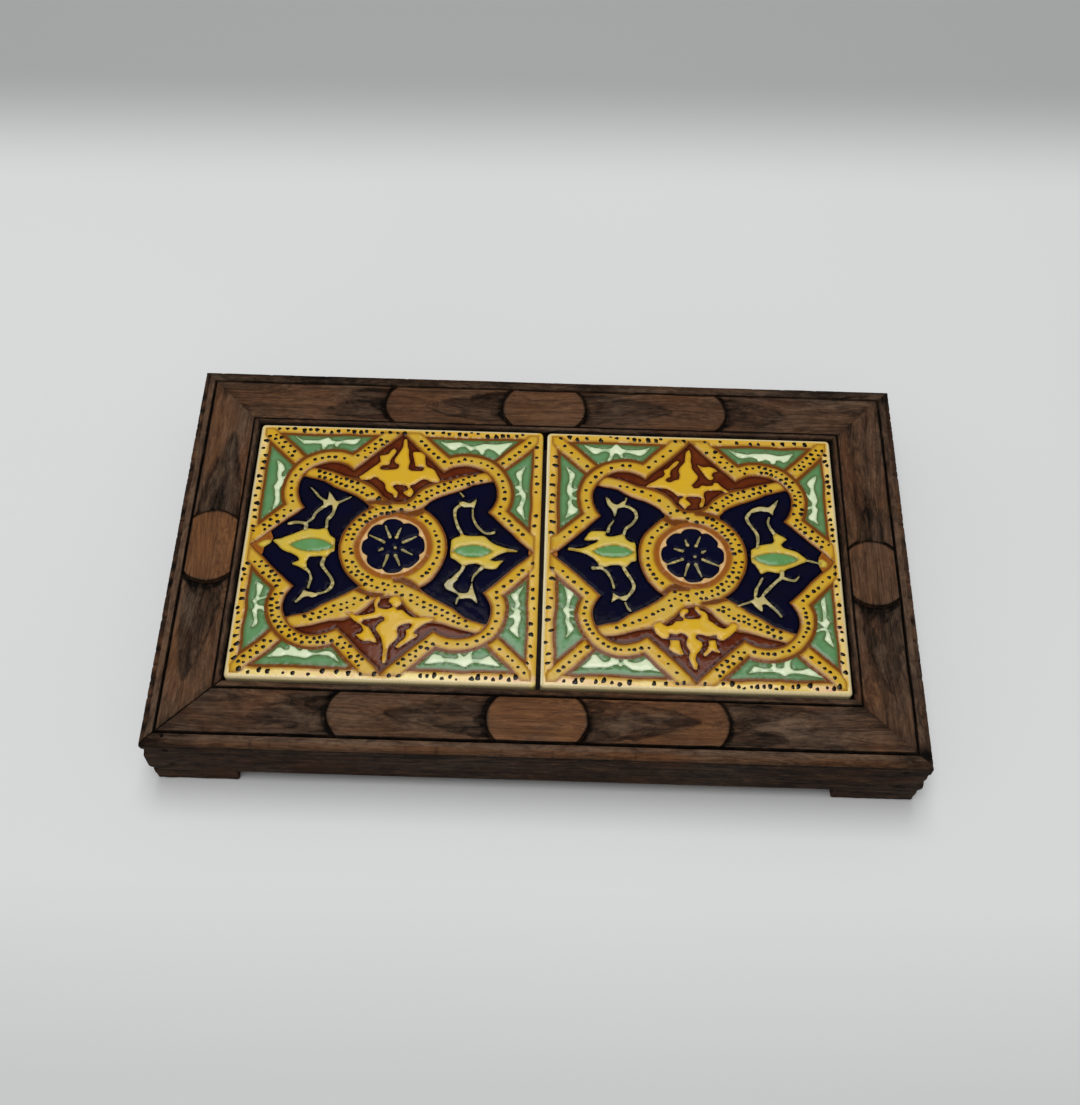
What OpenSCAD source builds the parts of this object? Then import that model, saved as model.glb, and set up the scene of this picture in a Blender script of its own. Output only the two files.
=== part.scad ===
// Trivet: two glazed tiles side by side in a carved, mitred hardwood frame.
// X runs along the long side, Y to the back, Z up. The origin is on the
// ground under the middle of the trivet.

/* [Tiles] */
// Side of one square tile
tile_side = 108; // [90:1:120]
// Thickness of a tile without its glaze relief
tile_thickness = 9.5; // [7:0.5:12]
// Radius of a tile's four upright corners
tile_corner_r = 1.6; // [0.8:0.1:3]
// Radius of the glazed edge round a tile's face
tile_edge_r = 1.3; // [0.6:0.1:2]
// Open joint between the two tiles
tile_joint = 1.5; // [0.8:0.1:3]
// Open gap between the tiles and the frame
tile_gap = 0.75; // [0.4:0.05:1.5]
// How far the tile faces stand above the frame
tile_proud = 0.8; // [0.4:0.1:2]
// Thickness of the adhesive bed under each tile
bed_thickness = 3.3; // [2:0.1:5]
// How far the adhesive bed stays back from a tile's edge
bed_inset = 2.5; // [1:0.5:6]

/* [Glaze] */
// Height of the raised yellow strapwork
strap_relief = 0.3; // [0.2:0.05:0.5]
// Height of the coloured fields between the straps
field_relief = 0.15; // [0.1:0.01:0.18]
// Height of the brown ground that shows as outlines
ground_relief = 0.06; // [0.04:0.01:0.08]
// Width of the brown outline between two colours
outline_w = 0.7; // [0.5:0.05:1]
// Plain cream margin round the pattern
cream_margin = 1.2; // [0.8:0.1:2]
// Width of the dotted border strip
border_w = 2.7; // [2:0.1:4]
// Width of the diagonal straps to the corners
corner_strap_w = 4.8; // [3:0.1:6]

/* [Frame] */
// Height of the frame rails
rail_height = 22; // [16:0.5:24]
// Width of the plain lip next to the tiles
lip_w = 2.2; // [1.5:0.1:4]
// Width of the groove between lip and carved band
inner_groove_w = 0.9; // [0.6:0.1:1.4]
// Depth of that groove
inner_groove_d = 1.1; // [0.6:0.1:1.6]
// Width of the flat band that carries the carving
band_w = 16.2; // [14:0.1:20]
// Width of the groove between carved band and outer bead
outer_groove_w = 1.2; // [0.8:0.1:1.8]
// Depth of that groove
outer_groove_d = 1.9; // [1:0.1:2.4]
// Width of the outer bead
bead_w = 4.2; // [3.5:0.1:7]
// Radius of the bead's worn outer edge
bead_round_r = 2; // [1:0.1:3]
// Crack left in each mitre joint, measured along the rail
mitre_crack = 0.12; // [0.05:0.01:0.3]

/* [Carving] */
// Radius of the round ends cut into the band
stop_r = 10.7; // [10.2:0.1:14]
// Width of the chisel cut along a round end
stop_cut_w = 0.6; // [0.4:0.1:1]
// Depth of that chisel cut
stop_cut_d = 2.6; // [1.5:0.1:3.5]
// Depth of a gouged hollow where it meets a round end
gouge_depth = 2.1; // [1:0.1:2.8]
// How blunt the far tip of a gouged hollow is
gouge_tip_lift = 0.15; // [0.05:0.05:0.4]

/* [Base] */
// Thickness of the plywood backing panel
panel_thickness = 6; // [4:0.5:8]
// Width of the rebate under the rails that takes the panel
rebate_w = 6; // [4:0.5:9]
// Play between the panel and its rebate on each side
panel_play = 0.4; // [0.2:0.1:1]
// Height of the corner feet
foot_height = 8; // [4:0.2:12]
// Length of a foot along the long rails
foot_length = 29; // [26:1:40]
// How far a foot's side face stays back from the frame's end
foot_side_inset = 0.9; // [0.4:0.1:2]
// How far a foot's long face stays back from the frame's face
foot_face_inset = 0.2; // [0.1:0.1:1]
// Worn corner along the bottom edges of a foot
foot_chamfer = 0.9; // [0.4:0.1:1.5]

/* [Brads] */
// Shank diameter of the brads
brad_d = 1.2; // [1:0.1:1.6]
// Head diameter of the brads
brad_head_d = 2; // [1.8:0.1:2.6]
// Height of a brad's head
brad_head_h = 0.8; // [0.5:0.1:1]
// Length of the brads that close the mitre joints
corner_brad_l = 25; // [20:1:30]
// Length of the brads that hold the panel
panel_brad_l = 14; // [10:1:16]
// Length of the brads that hold the feet
foot_brad_l = 16; // [12:1:20]
// Radial clearance of a brad in its hole
brad_clearance = 0.05; // [0.03:0.01:0.1]
// How deep a brad's head is set below the wood
brad_set = 0.3; // [0.1:0.1:0.5]
// Distance of a foot's outer brad from the foot's outer end
foot_outer_brad_inset = 13; // [12:0.5:15]
// Distance of a foot's inner brad from the foot's inner end
foot_inner_brad_inset = 5; // [3:0.5:8]

/* [Hidden] */
$fn = 48;
overrun = 0.5;

wood_colour = [0.29, 0.21, 0.17];
end_grain_colour = [0.22, 0.16, 0.13];
plywood_colour = [0.62, 0.48, 0.33];
mortar_colour = [0.72, 0.70, 0.66];
clay_colour = [0.93, 0.86, 0.66];
yellow_colour = [0.86, 0.67, 0.22];
brown_colour = [0.50, 0.28, 0.09];
blue_colour = [0.06, 0.06, 0.20];
maroon_colour = [0.30, 0.09, 0.08];
green_colour = [0.34, 0.56, 0.38];
lime_colour = [0.84, 0.88, 0.72];
steel_colour = [0.60, 0.58, 0.55];

rail_w = lip_w + inner_groove_w + band_w + outer_groove_w + bead_w;
recess_x = 2 * tile_side + tile_joint + 2 * tile_gap;
recess_y = tile_side + 2 * tile_gap;
outer_x = recess_x + 2 * rail_w;
outer_y = recess_y + 2 * rail_w;

rail_top = foot_height + rail_height;
tile_top = rail_top + tile_proud;
tile_bottom = tile_top - tile_thickness;
bed_bottom = tile_bottom - bed_thickness;
rebate_h = bed_bottom - foot_height;
panel_bottom = bed_bottom - panel_thickness;
tile_x = (tile_side + tile_joint) / 2;
half_side = tile_side / 2;

// The middle of the carved band and of each groove, seen across a rail
inner_groove_y = -lip_w - inner_groove_w / 2;
band_y = -lip_w - inner_groove_w - band_w / 2;
outer_groove_y = band_y - band_w / 2 - outer_groove_w / 2;

// How far a round end's corners lie behind its crown
stop_sagitta = stop_r - sqrt(stop_r * stop_r - band_w * band_w / 4);

// Round ends on each rail: place of the crown along the rail, the way it
// faces, and the length of the hollow before it, as shares of a tile's side
front_stop_shares = [[0.16, 1, 0.37], [-0.16, -1, 0.36], [0.61, 1, 0.28], [-0.665, -1, 0.28]];
back_stop_shares = [[0.155, 1, 0.30], [-0.14, -1, 0.34], [0.577, 1, 0.30], [-0.643, -1, 0.24]];
left_stop_shares = [[0.143, 1, 0.40], [-0.136, -1, 0.28]];
right_stop_shares = [[0.087, 1, 0.26], [-0.162, -1, 0.38]];

// Glaze pattern, as shares of half a tile's side
star_outer_share = 1.085;
star_inner_share = 0.957;
lobe_centre_share = 0.465;
lobe_outer_share = 0.315;
lobe_inner_share = 0.232;
ring_outer_share = 0.352;
ring_inner_share = 0.258;
rosette_share = 0.225;
petal_centre_share = 0.138;
petal_share = 0.062;
rosette_petals = 8;

// Upper and lower edge of the band that runs from a lobe to the ring
band_upper_shares = [[0.60, 0.635], [0.463, 0.604], [0.37, 0.57], [0.278, 0.544], [0.185, 0.517],
    [0.126, 0.452], [0.06, 0.406], [0, 0.39]];
band_lower_shares = [[0.645, 0.575], [0.517, 0.541], [0.437, 0.498], [0.337, 0.47], [0.257, 0.437],
    [0.219, 0.385], [0.193, 0.30]];

// Right half of the yellow figure in the fields at the back and front: the spike
// with a notch beside it, the arm to its tip, and the lobes underneath
figure_shares = [[0, 0.895], [0.022, 0.83], [0.041, 0.76], [0.050, 0.678], [0.063, 0.655],
    [0.141, 0.652], [0.156, 0.674], [0.091, 0.691], [0.085, 0.741], [0.096, 0.793], [0.141, 0.796],
    [0.159, 0.741], [0.178, 0.689], [0.213, 0.674], [0.25, 0.633], [0.283, 0.576], [0.191, 0.567],
    [0.148, 0.548], [0.122, 0.511], [0.104, 0.467], [0.072, 0.481], [0.085, 0.519], [0.048, 0.509],
    [0.03, 0.463], [0, 0.467]];

// Upper half of the yellow eye in the side fields
eye_shares = [[0.385, 0.075], [0.437, 0.12], [0.49, 0.13], [0.60, 0.12], [0.65, 0.105],
    [0.70, 0.055], [0.77, 0.035], [0.845, 0.012]];
lens_span_shares = [0.405, 0.70];
lens_height_share = 0.052;

// Lime flourish in a green panel, along the panel and across it
flourish_shares = [[0.28, 0.887], [0.34, 0.85], [0.44, 0.85], [0.50, 0.835], [0.53, 0.80],
    [0.56, 0.83], [0.62, 0.85], [0.66, 0.80], [0.70, 0.795], [0.73, 0.83], [0.77, 0.887],
    [0.70, 0.87], [0.62, 0.882], [0.50, 0.865], [0.40, 0.887]];

// Panel brads, as shares of half the recess
panel_brad_x_shares = [-0.8, -0.28, 0.28, 0.8];
panel_brad_y_shares = [-0.45, 0.45];
// Corner brads, as shares of the rail's height
corner_brad_z_shares = [0.24, 0.78];

function scaled(shares, size) = [for (p = shares) p * size];
// A half outline and its mirror image, as one closed outline
function mirrored_x(points) = concat(points,
    [for (i = [len(points) - 1 : -1 : 0]) if (points[i].x != 0) [-points[i].x, points[i].y]]);
function mirrored_y(points) = concat(points,
    [for (i = [len(points) - 1 : -1 : 0]) if (points[i].y != 0) [points[i].x, -points[i].y]]);

// Cross-section of a rail, with the tile side at zero and the outer face to the left
module rail_profile() {
    difference() {
        translate([-rail_w, 0]) square([rail_w, rail_height]);
        translate([-rebate_w, -overrun]) square([rebate_w + overrun, rebate_h + overrun]);
        v_groove(inner_groove_y, inner_groove_w, inner_groove_d);
        v_groove(outer_groove_y, outer_groove_w, outer_groove_d);
        translate([-rail_w, rail_height]) outer_edge_cut();
    }
}

module v_groove(middle, width, depth) {
    translate([middle, rail_height])
        polygon([[-width / 2, overrun], [-width / 2, 0], [0, -depth], [width / 2, 0],
            [width / 2, overrun]]);
}

// What the worn outer edge of the bead has lost
module outer_edge_cut() {
    difference() {
        translate([-overrun, -bead_round_r]) square(bead_round_r + overrun);
        translate([bead_round_r, -bead_round_r]) circle(bead_round_r);
    }
}

// A rail along X, inner face at zero, cut to its mitres at both ends
module mitred_rail(inner_length) {
    outer_length = inner_length + 2 * rail_w;
    intersection() {
        translate([-outer_length / 2, 0, 0])
            rotate([90, 0, 90]) linear_extrude(outer_length) rail_profile();
        translate([0, 0, -overrun]) linear_extrude(rail_height + 2 * overrun)
            polygon([[-outer_length / 2 + mitre_crack, -rail_w], [outer_length / 2 - mitre_crack, -rail_w],
                [inner_length / 2 - mitre_crack, 0], [-inner_length / 2 + mitre_crack, 0]]);
    }
}

// Everything in front of a round end: the part of the band that a carver may cut
module before_round_end(reach, depth) {
    difference() {
        translate([-stop_sagitta, -band_w / 2, -depth])
            cube([stop_sagitta + reach, band_w, depth + overrun]);
        translate([-stop_r, 0, -depth - overrun]) cylinder(h = depth + 3 * overrun, r = stop_r);
    }
}

// A hollow that a round gouge leaves: full width at the round end, running out to a blunt tip
module gouged_hollow(length) {
    fall = atan((gouge_depth + gouge_tip_lift) / length);
    spread = atan(band_w / 2 / length);
    rise = atan((cos(fall) - cos(spread)) / sin(fall));
    cone_angle = rise + fall;
    cone_h = length + band_w / 2;
    intersection() {
        before_round_end(length, gouge_depth + overrun);
        translate([length, 0, gouge_tip_lift]) rotate([0, rise - 90, 0])
            cylinder(h = cone_h, r1 = 0, r2 = cone_h * tan(cone_angle));
    }
}

// The upright chisel cut that outlines a round end
module stop_cut() {
    intersection() {
        before_round_end(stop_cut_w, stop_cut_d);
        translate([-stop_r, 0, -stop_cut_d - overrun])
            cylinder(h = stop_cut_d + 3 * overrun, r = stop_r + stop_cut_w);
    }
}

module carved_rail(inner_length, stop_shares) {
    difference() {
        mitred_rail(inner_length);
        for (stop = stop_shares)
            translate([stop[0] * tile_side, band_y, rail_height])
                rotate([0, 0, stop[1] > 0 ? 0 : 180]) {
                    gouged_hollow(stop[2] * tile_side);
                    stop_cut();
                }
    }
}

module front_rail() {
    color(wood_colour) difference() {
        translate([0, -recess_y / 2, foot_height]) carved_rail(recess_x, front_stop_shares);
        brad_holes();
    }
}

module back_rail() {
    color(wood_colour) difference() {
        translate([0, recess_y / 2, foot_height]) rotate([0, 0, 180])
            carved_rail(recess_x, back_stop_shares);
        brad_holes();
    }
}

module left_rail() {
    color(wood_colour) difference() {
        translate([-recess_x / 2, 0, foot_height]) rotate([0, 0, -90])
            carved_rail(recess_y, left_stop_shares);
        brad_holes();
    }
}

module right_rail() {
    color(wood_colour) difference() {
        translate([recess_x / 2, 0, foot_height]) rotate([0, 0, 90])
            carved_rail(recess_y, right_stop_shares);
        brad_holes();
    }
}

// The panel before it is nailed; a foot is cut back where the panel stands below the rails
module panel_block() {
    panel_x = recess_x + 2 * rebate_w - 2 * panel_play;
    panel_y = recess_y + 2 * rebate_w - 2 * panel_play;
    translate([-panel_x / 2, -panel_y / 2, panel_bottom]) cube([panel_x, panel_y, panel_thickness]);
}

module backing_panel() {
    color(plywood_colour) difference() {
        panel_block();
        brad_holes();
    }
}

module rounded_square(side, corner_r) {
    hollow_side = side - 2 * corner_r;
    square([side, hollow_side], center = true);
    square([hollow_side, side], center = true);
    for (x = [-1, 1], y = [-1, 1])
        translate([x * hollow_side / 2, y * hollow_side / 2]) circle(corner_r);
}

module tile_bed() {
    color(mortar_colour) linear_extrude(bed_thickness)
        rounded_square(tile_side - 2 * bed_inset, tile_corner_r + bed_inset);
}

module left_tile_bed() {
    translate([-tile_x, 0, bed_bottom]) tile_bed();
}

module right_tile_bed() {
    translate([tile_x, 0, bed_bottom]) tile_bed();
}

// Side view of a tile: square below, with the glazed edge rounded above
module tile_side_view() {
    translate([-half_side, 0]) square([tile_side, tile_thickness - tile_edge_r]);
    translate([-half_side + tile_edge_r, 0]) square([tile_side - 2 * tile_edge_r, tile_thickness]);
    for (x = [-1, 1])
        translate([x * (half_side - tile_edge_r), tile_thickness - tile_edge_r]) circle(tile_edge_r);
}

module tile_body() {
    intersection() {
        linear_extrude(tile_thickness) rounded_square(tile_side, tile_corner_r);
        translate([0, half_side, 0]) rotate([90, 0, 0]) linear_extrude(tile_side) tile_side_view();
        translate([-half_side, 0, 0]) rotate([90, 0, 90]) linear_extrude(tile_side) tile_side_view();
    }
}

// A square on its corner, joined with a round lobe on each diagonal
module star_with_lobes(reach, lobe_r) {
    rotate(45) square(reach * sqrt(2), center = true);
    for (x = [-1, 1], y = [-1, 1])
        translate([x, y] * lobe_centre_share * half_side) circle(lobe_r);
}

// The space that the strapwork encloses, drawn in by the given width
module enclosed_space(inset) {
    star_with_lobes(star_inner_share * half_side - inset * sqrt(2),
        lobe_inner_share * half_side - inset);
}

module crossing_bands() {
    last = len(band_upper_shares) - 1;
    reversed_upper = [for (i = [last : -1 : 0]) band_upper_shares[i]];
    for (x = [0, 1], y = [0, 1])
        mirror([x, 0]) mirror([0, y])
            polygon(scaled(concat(band_lower_shares, [[0, ring_inner_share]], reversed_upper), half_side));
}

module strapwork() {
    border_outer = tile_side - 2 * tile_edge_r - 2 * cream_margin;
    border_inner = border_outer - 2 * border_w;
    difference() {
        intersection() {
            square(border_outer, center = true);
            union() {
                star_with_lobes(star_outer_share * half_side, lobe_outer_share * half_side);
                difference() {
                    square(border_outer, center = true);
                    square(border_inner, center = true);
                }
                corner_straps();
            }
        }
        difference() {
            enclosed_space(0);
            crossing_bands();
            circle(ring_outer_share * half_side);
        }
        circle(ring_inner_share * half_side);
    }
}

// Straps from the corners to the lobes, where a brown outline parts them
module corner_straps() {
    difference() {
        for (angle = [45 : 90 : 315])
            rotate(angle) translate([lobe_centre_share * half_side, -corner_strap_w / 2])
                square([tile_side, corner_strap_w]);
        star_with_lobes(star_outer_share * half_side + outline_w * sqrt(2),
            lobe_outer_share * half_side + outline_w);
    }
}

// Fields at the back and front, above and below the crossing bands
module maroon_fields() {
    edge = [for (p = scaled(band_upper_shares, half_side)) p + [0, outline_w]];
    band_end = edge[0];
    for (y = [0, 1])
        mirror([0, y]) intersection() {
            enclosed_space(outline_w);
            polygon(mirrored_x(concat([[band_end.x, half_side], [half_side, half_side],
                [half_side, band_end.y]], edge)));
        }
}

// Fields at the two sides, between the crossing bands
module blue_fields() {
    edge = [for (p = scaled(band_lower_shares, half_side)) p - [0, outline_w]];
    band_end = edge[0];
    for (x = [0, 1])
        mirror([x, 0]) difference() {
            intersection() {
                enclosed_space(outline_w);
                polygon(mirrored_y(concat([[half_side, band_end.y]], edge)));
            }
            circle(ring_outer_share * half_side + outline_w);
        }
}

// Green panels between the border and the star, two in each corner
module green_panels() {
    panel_top = half_side - tile_edge_r - cream_margin - border_w - outline_w;
    strap_side = (corner_strap_w / 2 + outline_w) * sqrt(2);
    star_side = star_outer_share * half_side + outline_w * sqrt(2);
    for (x = [0, 1], y = [0, 1], turn = [0, 1])
        mirror([x, 0]) mirror([0, y]) mirror([turn, -turn]) difference() {
            polygon([[star_side - panel_top, panel_top], [panel_top - strap_side, panel_top],
                [(star_side - strap_side) / 2, (star_side + strap_side) / 2]]);
            translate([1, 1] * lobe_centre_share * half_side)
                circle(lobe_outer_share * half_side + outline_w);
        }
}

module lime_flourishes() {
    for (x = [0, 1], y = [0, 1], turn = [0, 1])
        mirror([x, 0]) mirror([0, y]) mirror([turn, -turn])
            polygon(scaled(flourish_shares, half_side));
}

module yellow_figures() {
    for (y = [0, 1])
        mirror([0, y]) polygon(mirrored_x(scaled(figure_shares, half_side)));
}

module yellow_eyes() {
    difference() {
        for (x = [0, 1])
            mirror([x, 0]) polygon(mirrored_y(scaled(eye_shares, half_side)));
        green_lenses();
    }
}

// The pointed lens in the middle of each eye, where two circles overlap
module green_lenses() {
    span = (lens_span_shares[1] - lens_span_shares[0]) * half_side / 2;
    middle = (lens_span_shares[1] + lens_span_shares[0]) * half_side / 2;
    height = lens_height_share * half_side;
    lens_r = (span * span + height * height) / (2 * height);
    for (x = [-1, 1])
        translate([x * middle, 0]) intersection() {
            translate([0, lens_r - height]) circle(lens_r);
            translate([0, height - lens_r]) circle(lens_r);
        }
}

module rosette() {
    circle((petal_centre_share + petal_share / 2) * half_side);
    for (i = [1 : rosette_petals])
        rotate(i * 360 / rosette_petals) translate([petal_centre_share * half_side, 0])
            circle(petal_share * half_side);
}

// One layer of glaze, rooted in the tile's face and standing above it by its relief
module glaze(relief) {
    translate([0, 0, tile_thickness - overrun]) linear_extrude(overrun + relief) children();
}

module glazed_tile() {
    ground_side = tile_side - 2 * tile_edge_r - 2 * cream_margin;
    color(clay_colour) tile_body();
    color(brown_colour) glaze(ground_relief) square(ground_side, center = true);
    color(yellow_colour) glaze(strap_relief) strapwork();
    color(maroon_colour) glaze(field_relief) maroon_fields();
    color(blue_colour) glaze(field_relief) blue_fields();
    color(green_colour) glaze(field_relief) green_panels();
    color(lime_colour) glaze(strap_relief) lime_flourishes();
    color(yellow_colour) glaze(strap_relief) yellow_figures();
    color(yellow_colour) glaze(strap_relief) yellow_eyes();
    color(green_colour) glaze(field_relief) green_lenses();
    color(lime_colour) glaze(field_relief) circle(rosette_share * half_side);
    color(blue_colour) glaze(strap_relief) rosette();
}

module left_tile() {
    translate([-tile_x, 0, tile_bottom]) glazed_tile();
}

module right_tile() {
    translate([tile_x, 0, tile_bottom]) glazed_tile();
}

// A foot under the back right corner; the others are its mirror images
module foot() {
    foot_depth = rail_w - foot_face_inset;
    x0 = outer_x / 2 - foot_side_inset - foot_length;
    y0 = outer_y / 2 - rail_w;
    color(end_grain_colour) difference() {
        translate([x0, y0, 0]) intersection() {
            translate([0, foot_depth, 0]) rotate([90, 0, 0]) linear_extrude(foot_depth)
                chamfered_block(foot_length, foot_height);
            rotate([90, 0, 90]) linear_extrude(foot_length) chamfered_block(foot_depth, foot_height);
        }
        panel_block();
        brad_holes();
    }
}

// A block seen from the side, with both bottom corners worn off
module chamfered_block(length, height) {
    polygon([[foot_chamfer, 0], [length - foot_chamfer, 0], [length, foot_chamfer], [length, height],
        [0, height], [0, foot_chamfer]]);
}

module foot_front_left() {
    mirror([1, 0, 0]) mirror([0, 1, 0]) foot();
}

module foot_front_right() {
    mirror([0, 1, 0]) foot();
}

module foot_back_left() {
    mirror([1, 0, 0]) foot();
}

module foot_back_right() {
    foot();
}

// A brad along Z with its head below; spare widens it into its hole
module brad(length, spare) {
    shank_r = brad_d / 2 + spare;
    head_r = brad_head_d / 2 + spare;
    point_h = brad_d;
    translate([0, 0, -spare]) cylinder(h = brad_head_h + 2 * spare, r = head_r);
    cylinder(h = length - point_h, r = shank_r);
    translate([0, 0, length - point_h])
        cylinder(h = point_h + spare, r1 = shank_r, r2 = brad_clearance);
}

// The opening over a sunk head, as deep as the head is set
module brad_mouth(spare) {
    if (spare > 0)
        translate([0, 0, -brad_set - overrun]) cylinder(h = brad_set + overrun, r = brad_head_d / 2 + spare);
}

module corner_brad_set(spare) {
    brad_x = outer_x / 2 - bead_w - outer_groove_w - inner_groove_w - lip_w;
    for (x = [-1, 1], turn = [0, 180], share = corner_brad_z_shares)
        rotate([0, 0, turn])
            translate([x * brad_x, -outer_y / 2 + brad_set, foot_height + share * rail_height])
                rotate([-90, 0, 0]) {
                    brad(corner_brad_l, spare);
                    brad_mouth(spare);
                }
}

module panel_brad_set(spare) {
    edge = (rebate_w - panel_play) / 2;
    for (y = [-1, 1], share = panel_brad_x_shares)
        translate([share * recess_x / 2, y * (recess_y / 2 + edge), panel_bottom + brad_set])
            upward_brad(panel_brad_l, spare);
    for (x = [-1, 1], share = panel_brad_y_shares)
        translate([x * (recess_x / 2 + edge), share * recess_y / 2, panel_bottom + brad_set])
            upward_brad(panel_brad_l, spare);
}

module foot_brad_set(spare) {
    foot_x = outer_x / 2 - foot_side_inset;
    brad_y = outer_y / 2 - rail_w / 3;
    for (x = [-1, 1], y = [-1, 1], inset = [foot_outer_brad_inset, foot_length - foot_inner_brad_inset])
        translate([x * (foot_x - inset), y * brad_y, brad_set])
            upward_brad(foot_brad_l, spare);
}

module upward_brad(length, spare) {
    brad(length, spare);
    brad_mouth(spare);
}

module brad_holes() {
    corner_brad_set(brad_clearance);
    panel_brad_set(brad_clearance);
    foot_brad_set(brad_clearance);
}

module corner_brads() {
    color(steel_colour) corner_brad_set(0);
}

module panel_brads() {
    color(steel_colour) panel_brad_set(0);
}

module foot_brads() {
    color(steel_colour) foot_brad_set(0);
}

front_rail();
back_rail();
left_rail();
right_rail();
backing_panel();
left_tile();
right_tile();
left_tile_bed();
right_tile_bed();
foot_front_left();
foot_front_right();
foot_back_left();
foot_back_right();
corner_brads();
panel_brads();
foot_brads();
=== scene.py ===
import math

import bpy
import numpy as np
from mathutils import Matrix, Vector
from mathutils.geometry import delaunay_2d_cdt
from mathutils.kdtree import KDTree


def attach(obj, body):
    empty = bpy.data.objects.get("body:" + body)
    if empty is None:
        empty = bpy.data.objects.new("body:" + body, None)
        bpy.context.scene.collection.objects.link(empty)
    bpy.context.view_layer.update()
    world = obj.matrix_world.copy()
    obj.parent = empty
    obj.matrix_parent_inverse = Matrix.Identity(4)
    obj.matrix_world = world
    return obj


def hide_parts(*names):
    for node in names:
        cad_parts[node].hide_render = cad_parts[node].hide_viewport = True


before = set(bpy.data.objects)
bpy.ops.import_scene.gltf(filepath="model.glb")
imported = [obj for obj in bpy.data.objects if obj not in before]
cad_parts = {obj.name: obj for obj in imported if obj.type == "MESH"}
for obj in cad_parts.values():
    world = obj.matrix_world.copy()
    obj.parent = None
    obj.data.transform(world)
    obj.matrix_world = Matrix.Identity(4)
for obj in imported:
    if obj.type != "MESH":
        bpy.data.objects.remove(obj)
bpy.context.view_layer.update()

# Sizes in millimetres, as in the CAD source
MM = 0.001
FOOT_H = 8.0
RAIL_H = 22.0
TILE = 108.0
TILE_GAP = 0.75
TILE_THICK = 9.5
TILE_STAND = 0.8
TILE_TOP = FOOT_H + RAIL_H + TILE_STAND
TILE_BOTTOM = TILE_TOP - TILE_THICK
TILE_EDGE_R = 1.3
TILE_CORNER_R = 1.6
TILE_X = TILE / 2 + TILE_GAP
BED_THICKNESS = 3.3
RELIEF = 0.3
RECESS_X = 2 * TILE + 4 * TILE_GAP
RECESS_Y = TILE + 2 * TILE_GAP
LIP_W = 2.2
INNER_GROOVE_W = 0.9
INNER_GROOVE_D = 1.1
BAND_W = 16.2
OUTER_GROOVE_W = 1.2
OUTER_GROOVE_D = 1.9
BEAD_W = 4.2
BEAD_R = 2.0
RAIL_W = LIP_W + INNER_GROOVE_W + BAND_W + OUTER_GROOVE_W + BEAD_W
BAND_IN = LIP_W + INNER_GROOVE_W
BAND_OUT = BAND_IN + BAND_W
BAND_MID = BAND_IN + BAND_W / 2
BEAD_IN = BAND_OUT + OUTER_GROOVE_W
MITRE_CRACK = 0.12
STOP_R = 10.7
STOP_CUT_W = 0.6
STOP_CUT_D = 2.6
REBATE = 6.0
REBATE_H = TILE_BOTTOM - BED_THICKNESS - FOOT_H
FOOT_L = 29.0
FOOT_SIDE_INSET = 0.9
FOOT_FACE_INSET = 0.2
OUTER_X = RECESS_X + 2 * RAIL_W
OUTER_Y = RECESS_Y + 2 * RAIL_W
BRAD_X = OUTER_X / 2 - BEAD_W - OUTER_GROOVE_W - INNER_GROOVE_W - LIP_W
BRAD_Z = (0.24 * RAIL_H, 0.78 * RAIL_H)
FOOT_BRADS = (13.0, 24.0)

# The holes over the brads' sunk heads: lines of the mesh beside each, radius and depth
RAIL_HOLE_LINES = (-1.25, -0.95, -0.6, 0, 0.6, 0.95, 1.25)
RAIL_HOLE_R = 1.12
RAIL_HOLE_D = 0.42
FOOT_HOLE_LINES = (-1.25, -1.0, -0.7, 0, 0.7, 1.0, 1.25)
FOOT_HOLE_R = 1.1
FOOT_HOLE_D = 0.33

# Two nails that show in the bead at the front: a hole on the left, painted dark as shade, and a head on the
# right, painted pale as a glint
NAIL_HOLE = (-126.4, -76.0)
NAIL_HEAD = (126.2, -77.4)

# The camera that matches the photograph: angles in degrees, the rest in millimetres
CAM_TARGET = (-0.73, 7.96, 17.6)
CAM_DISTANCE = 539.4
CAM_AZIMUTH = 0.248
CAM_ELEVATION = 58.784
CAM_ROLL = 1.502
CAM_SENSOR = 36.0
CAM_FOCAL_SHARE = 1439.6 / 1105


def smooth(t):
    """Eases from 0 to 1 as t goes from 0 to 1."""
    t = np.clip(t, 0, 1)
    return t * t * (3 - 2 * t)


def soft_noise(x, y, seed):
    """Smooth noise between -1 and 1 over arrays of places."""
    size = 64
    table = np.random.default_rng(seed).uniform(-1, 1, (size, size))
    x, y = np.broadcast_arrays(np.asarray(x, float), np.asarray(y, float))
    xi = np.floor(x).astype(int)
    yi = np.floor(y).astype(int)
    fx = smooth(x - xi)
    fy = smooth(y - yi)
    a = table[xi % size, yi % size]
    b = table[(xi + 1) % size, yi % size]
    c = table[xi % size, (yi + 1) % size]
    d = table[(xi + 1) % size, (yi + 1) % size]
    return (a * (1 - fx) + b * fx) * (1 - fy) + (c * (1 - fx) + d * fx) * fy


def new_object(name, data):
    """Puts a mesh, lamp or camera in the scene."""
    item = bpy.data.objects.new(name, data)
    bpy.context.scene.collection.objects.link(item)
    return item


def new_piece(name, points, faces, materials, face_materials=None, sharp=32):
    """A mesh piece with its points given in millimetres."""
    mesh = bpy.data.meshes.new(name)
    mesh.from_pydata((np.asarray(points, float) * MM).tolist(), [], faces)
    for material in materials:
        mesh.materials.append(material)
    if face_materials is not None:
        mesh.polygons.foreach_set("material_index", np.asarray(face_materials, np.int32))
    mesh.shade_smooth()
    mesh.set_sharp_from_angle(angle=math.radians(sharp))
    mesh.update()
    return new_object(name, mesh)


def set_value(piece, name, values):
    """Keeps one number for each point of a piece, for its material to read."""
    attribute = piece.data.attributes.new(name, "FLOAT", "POINT")
    attribute.data.foreach_set("value", np.asarray(values, np.float32).ravel())


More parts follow.
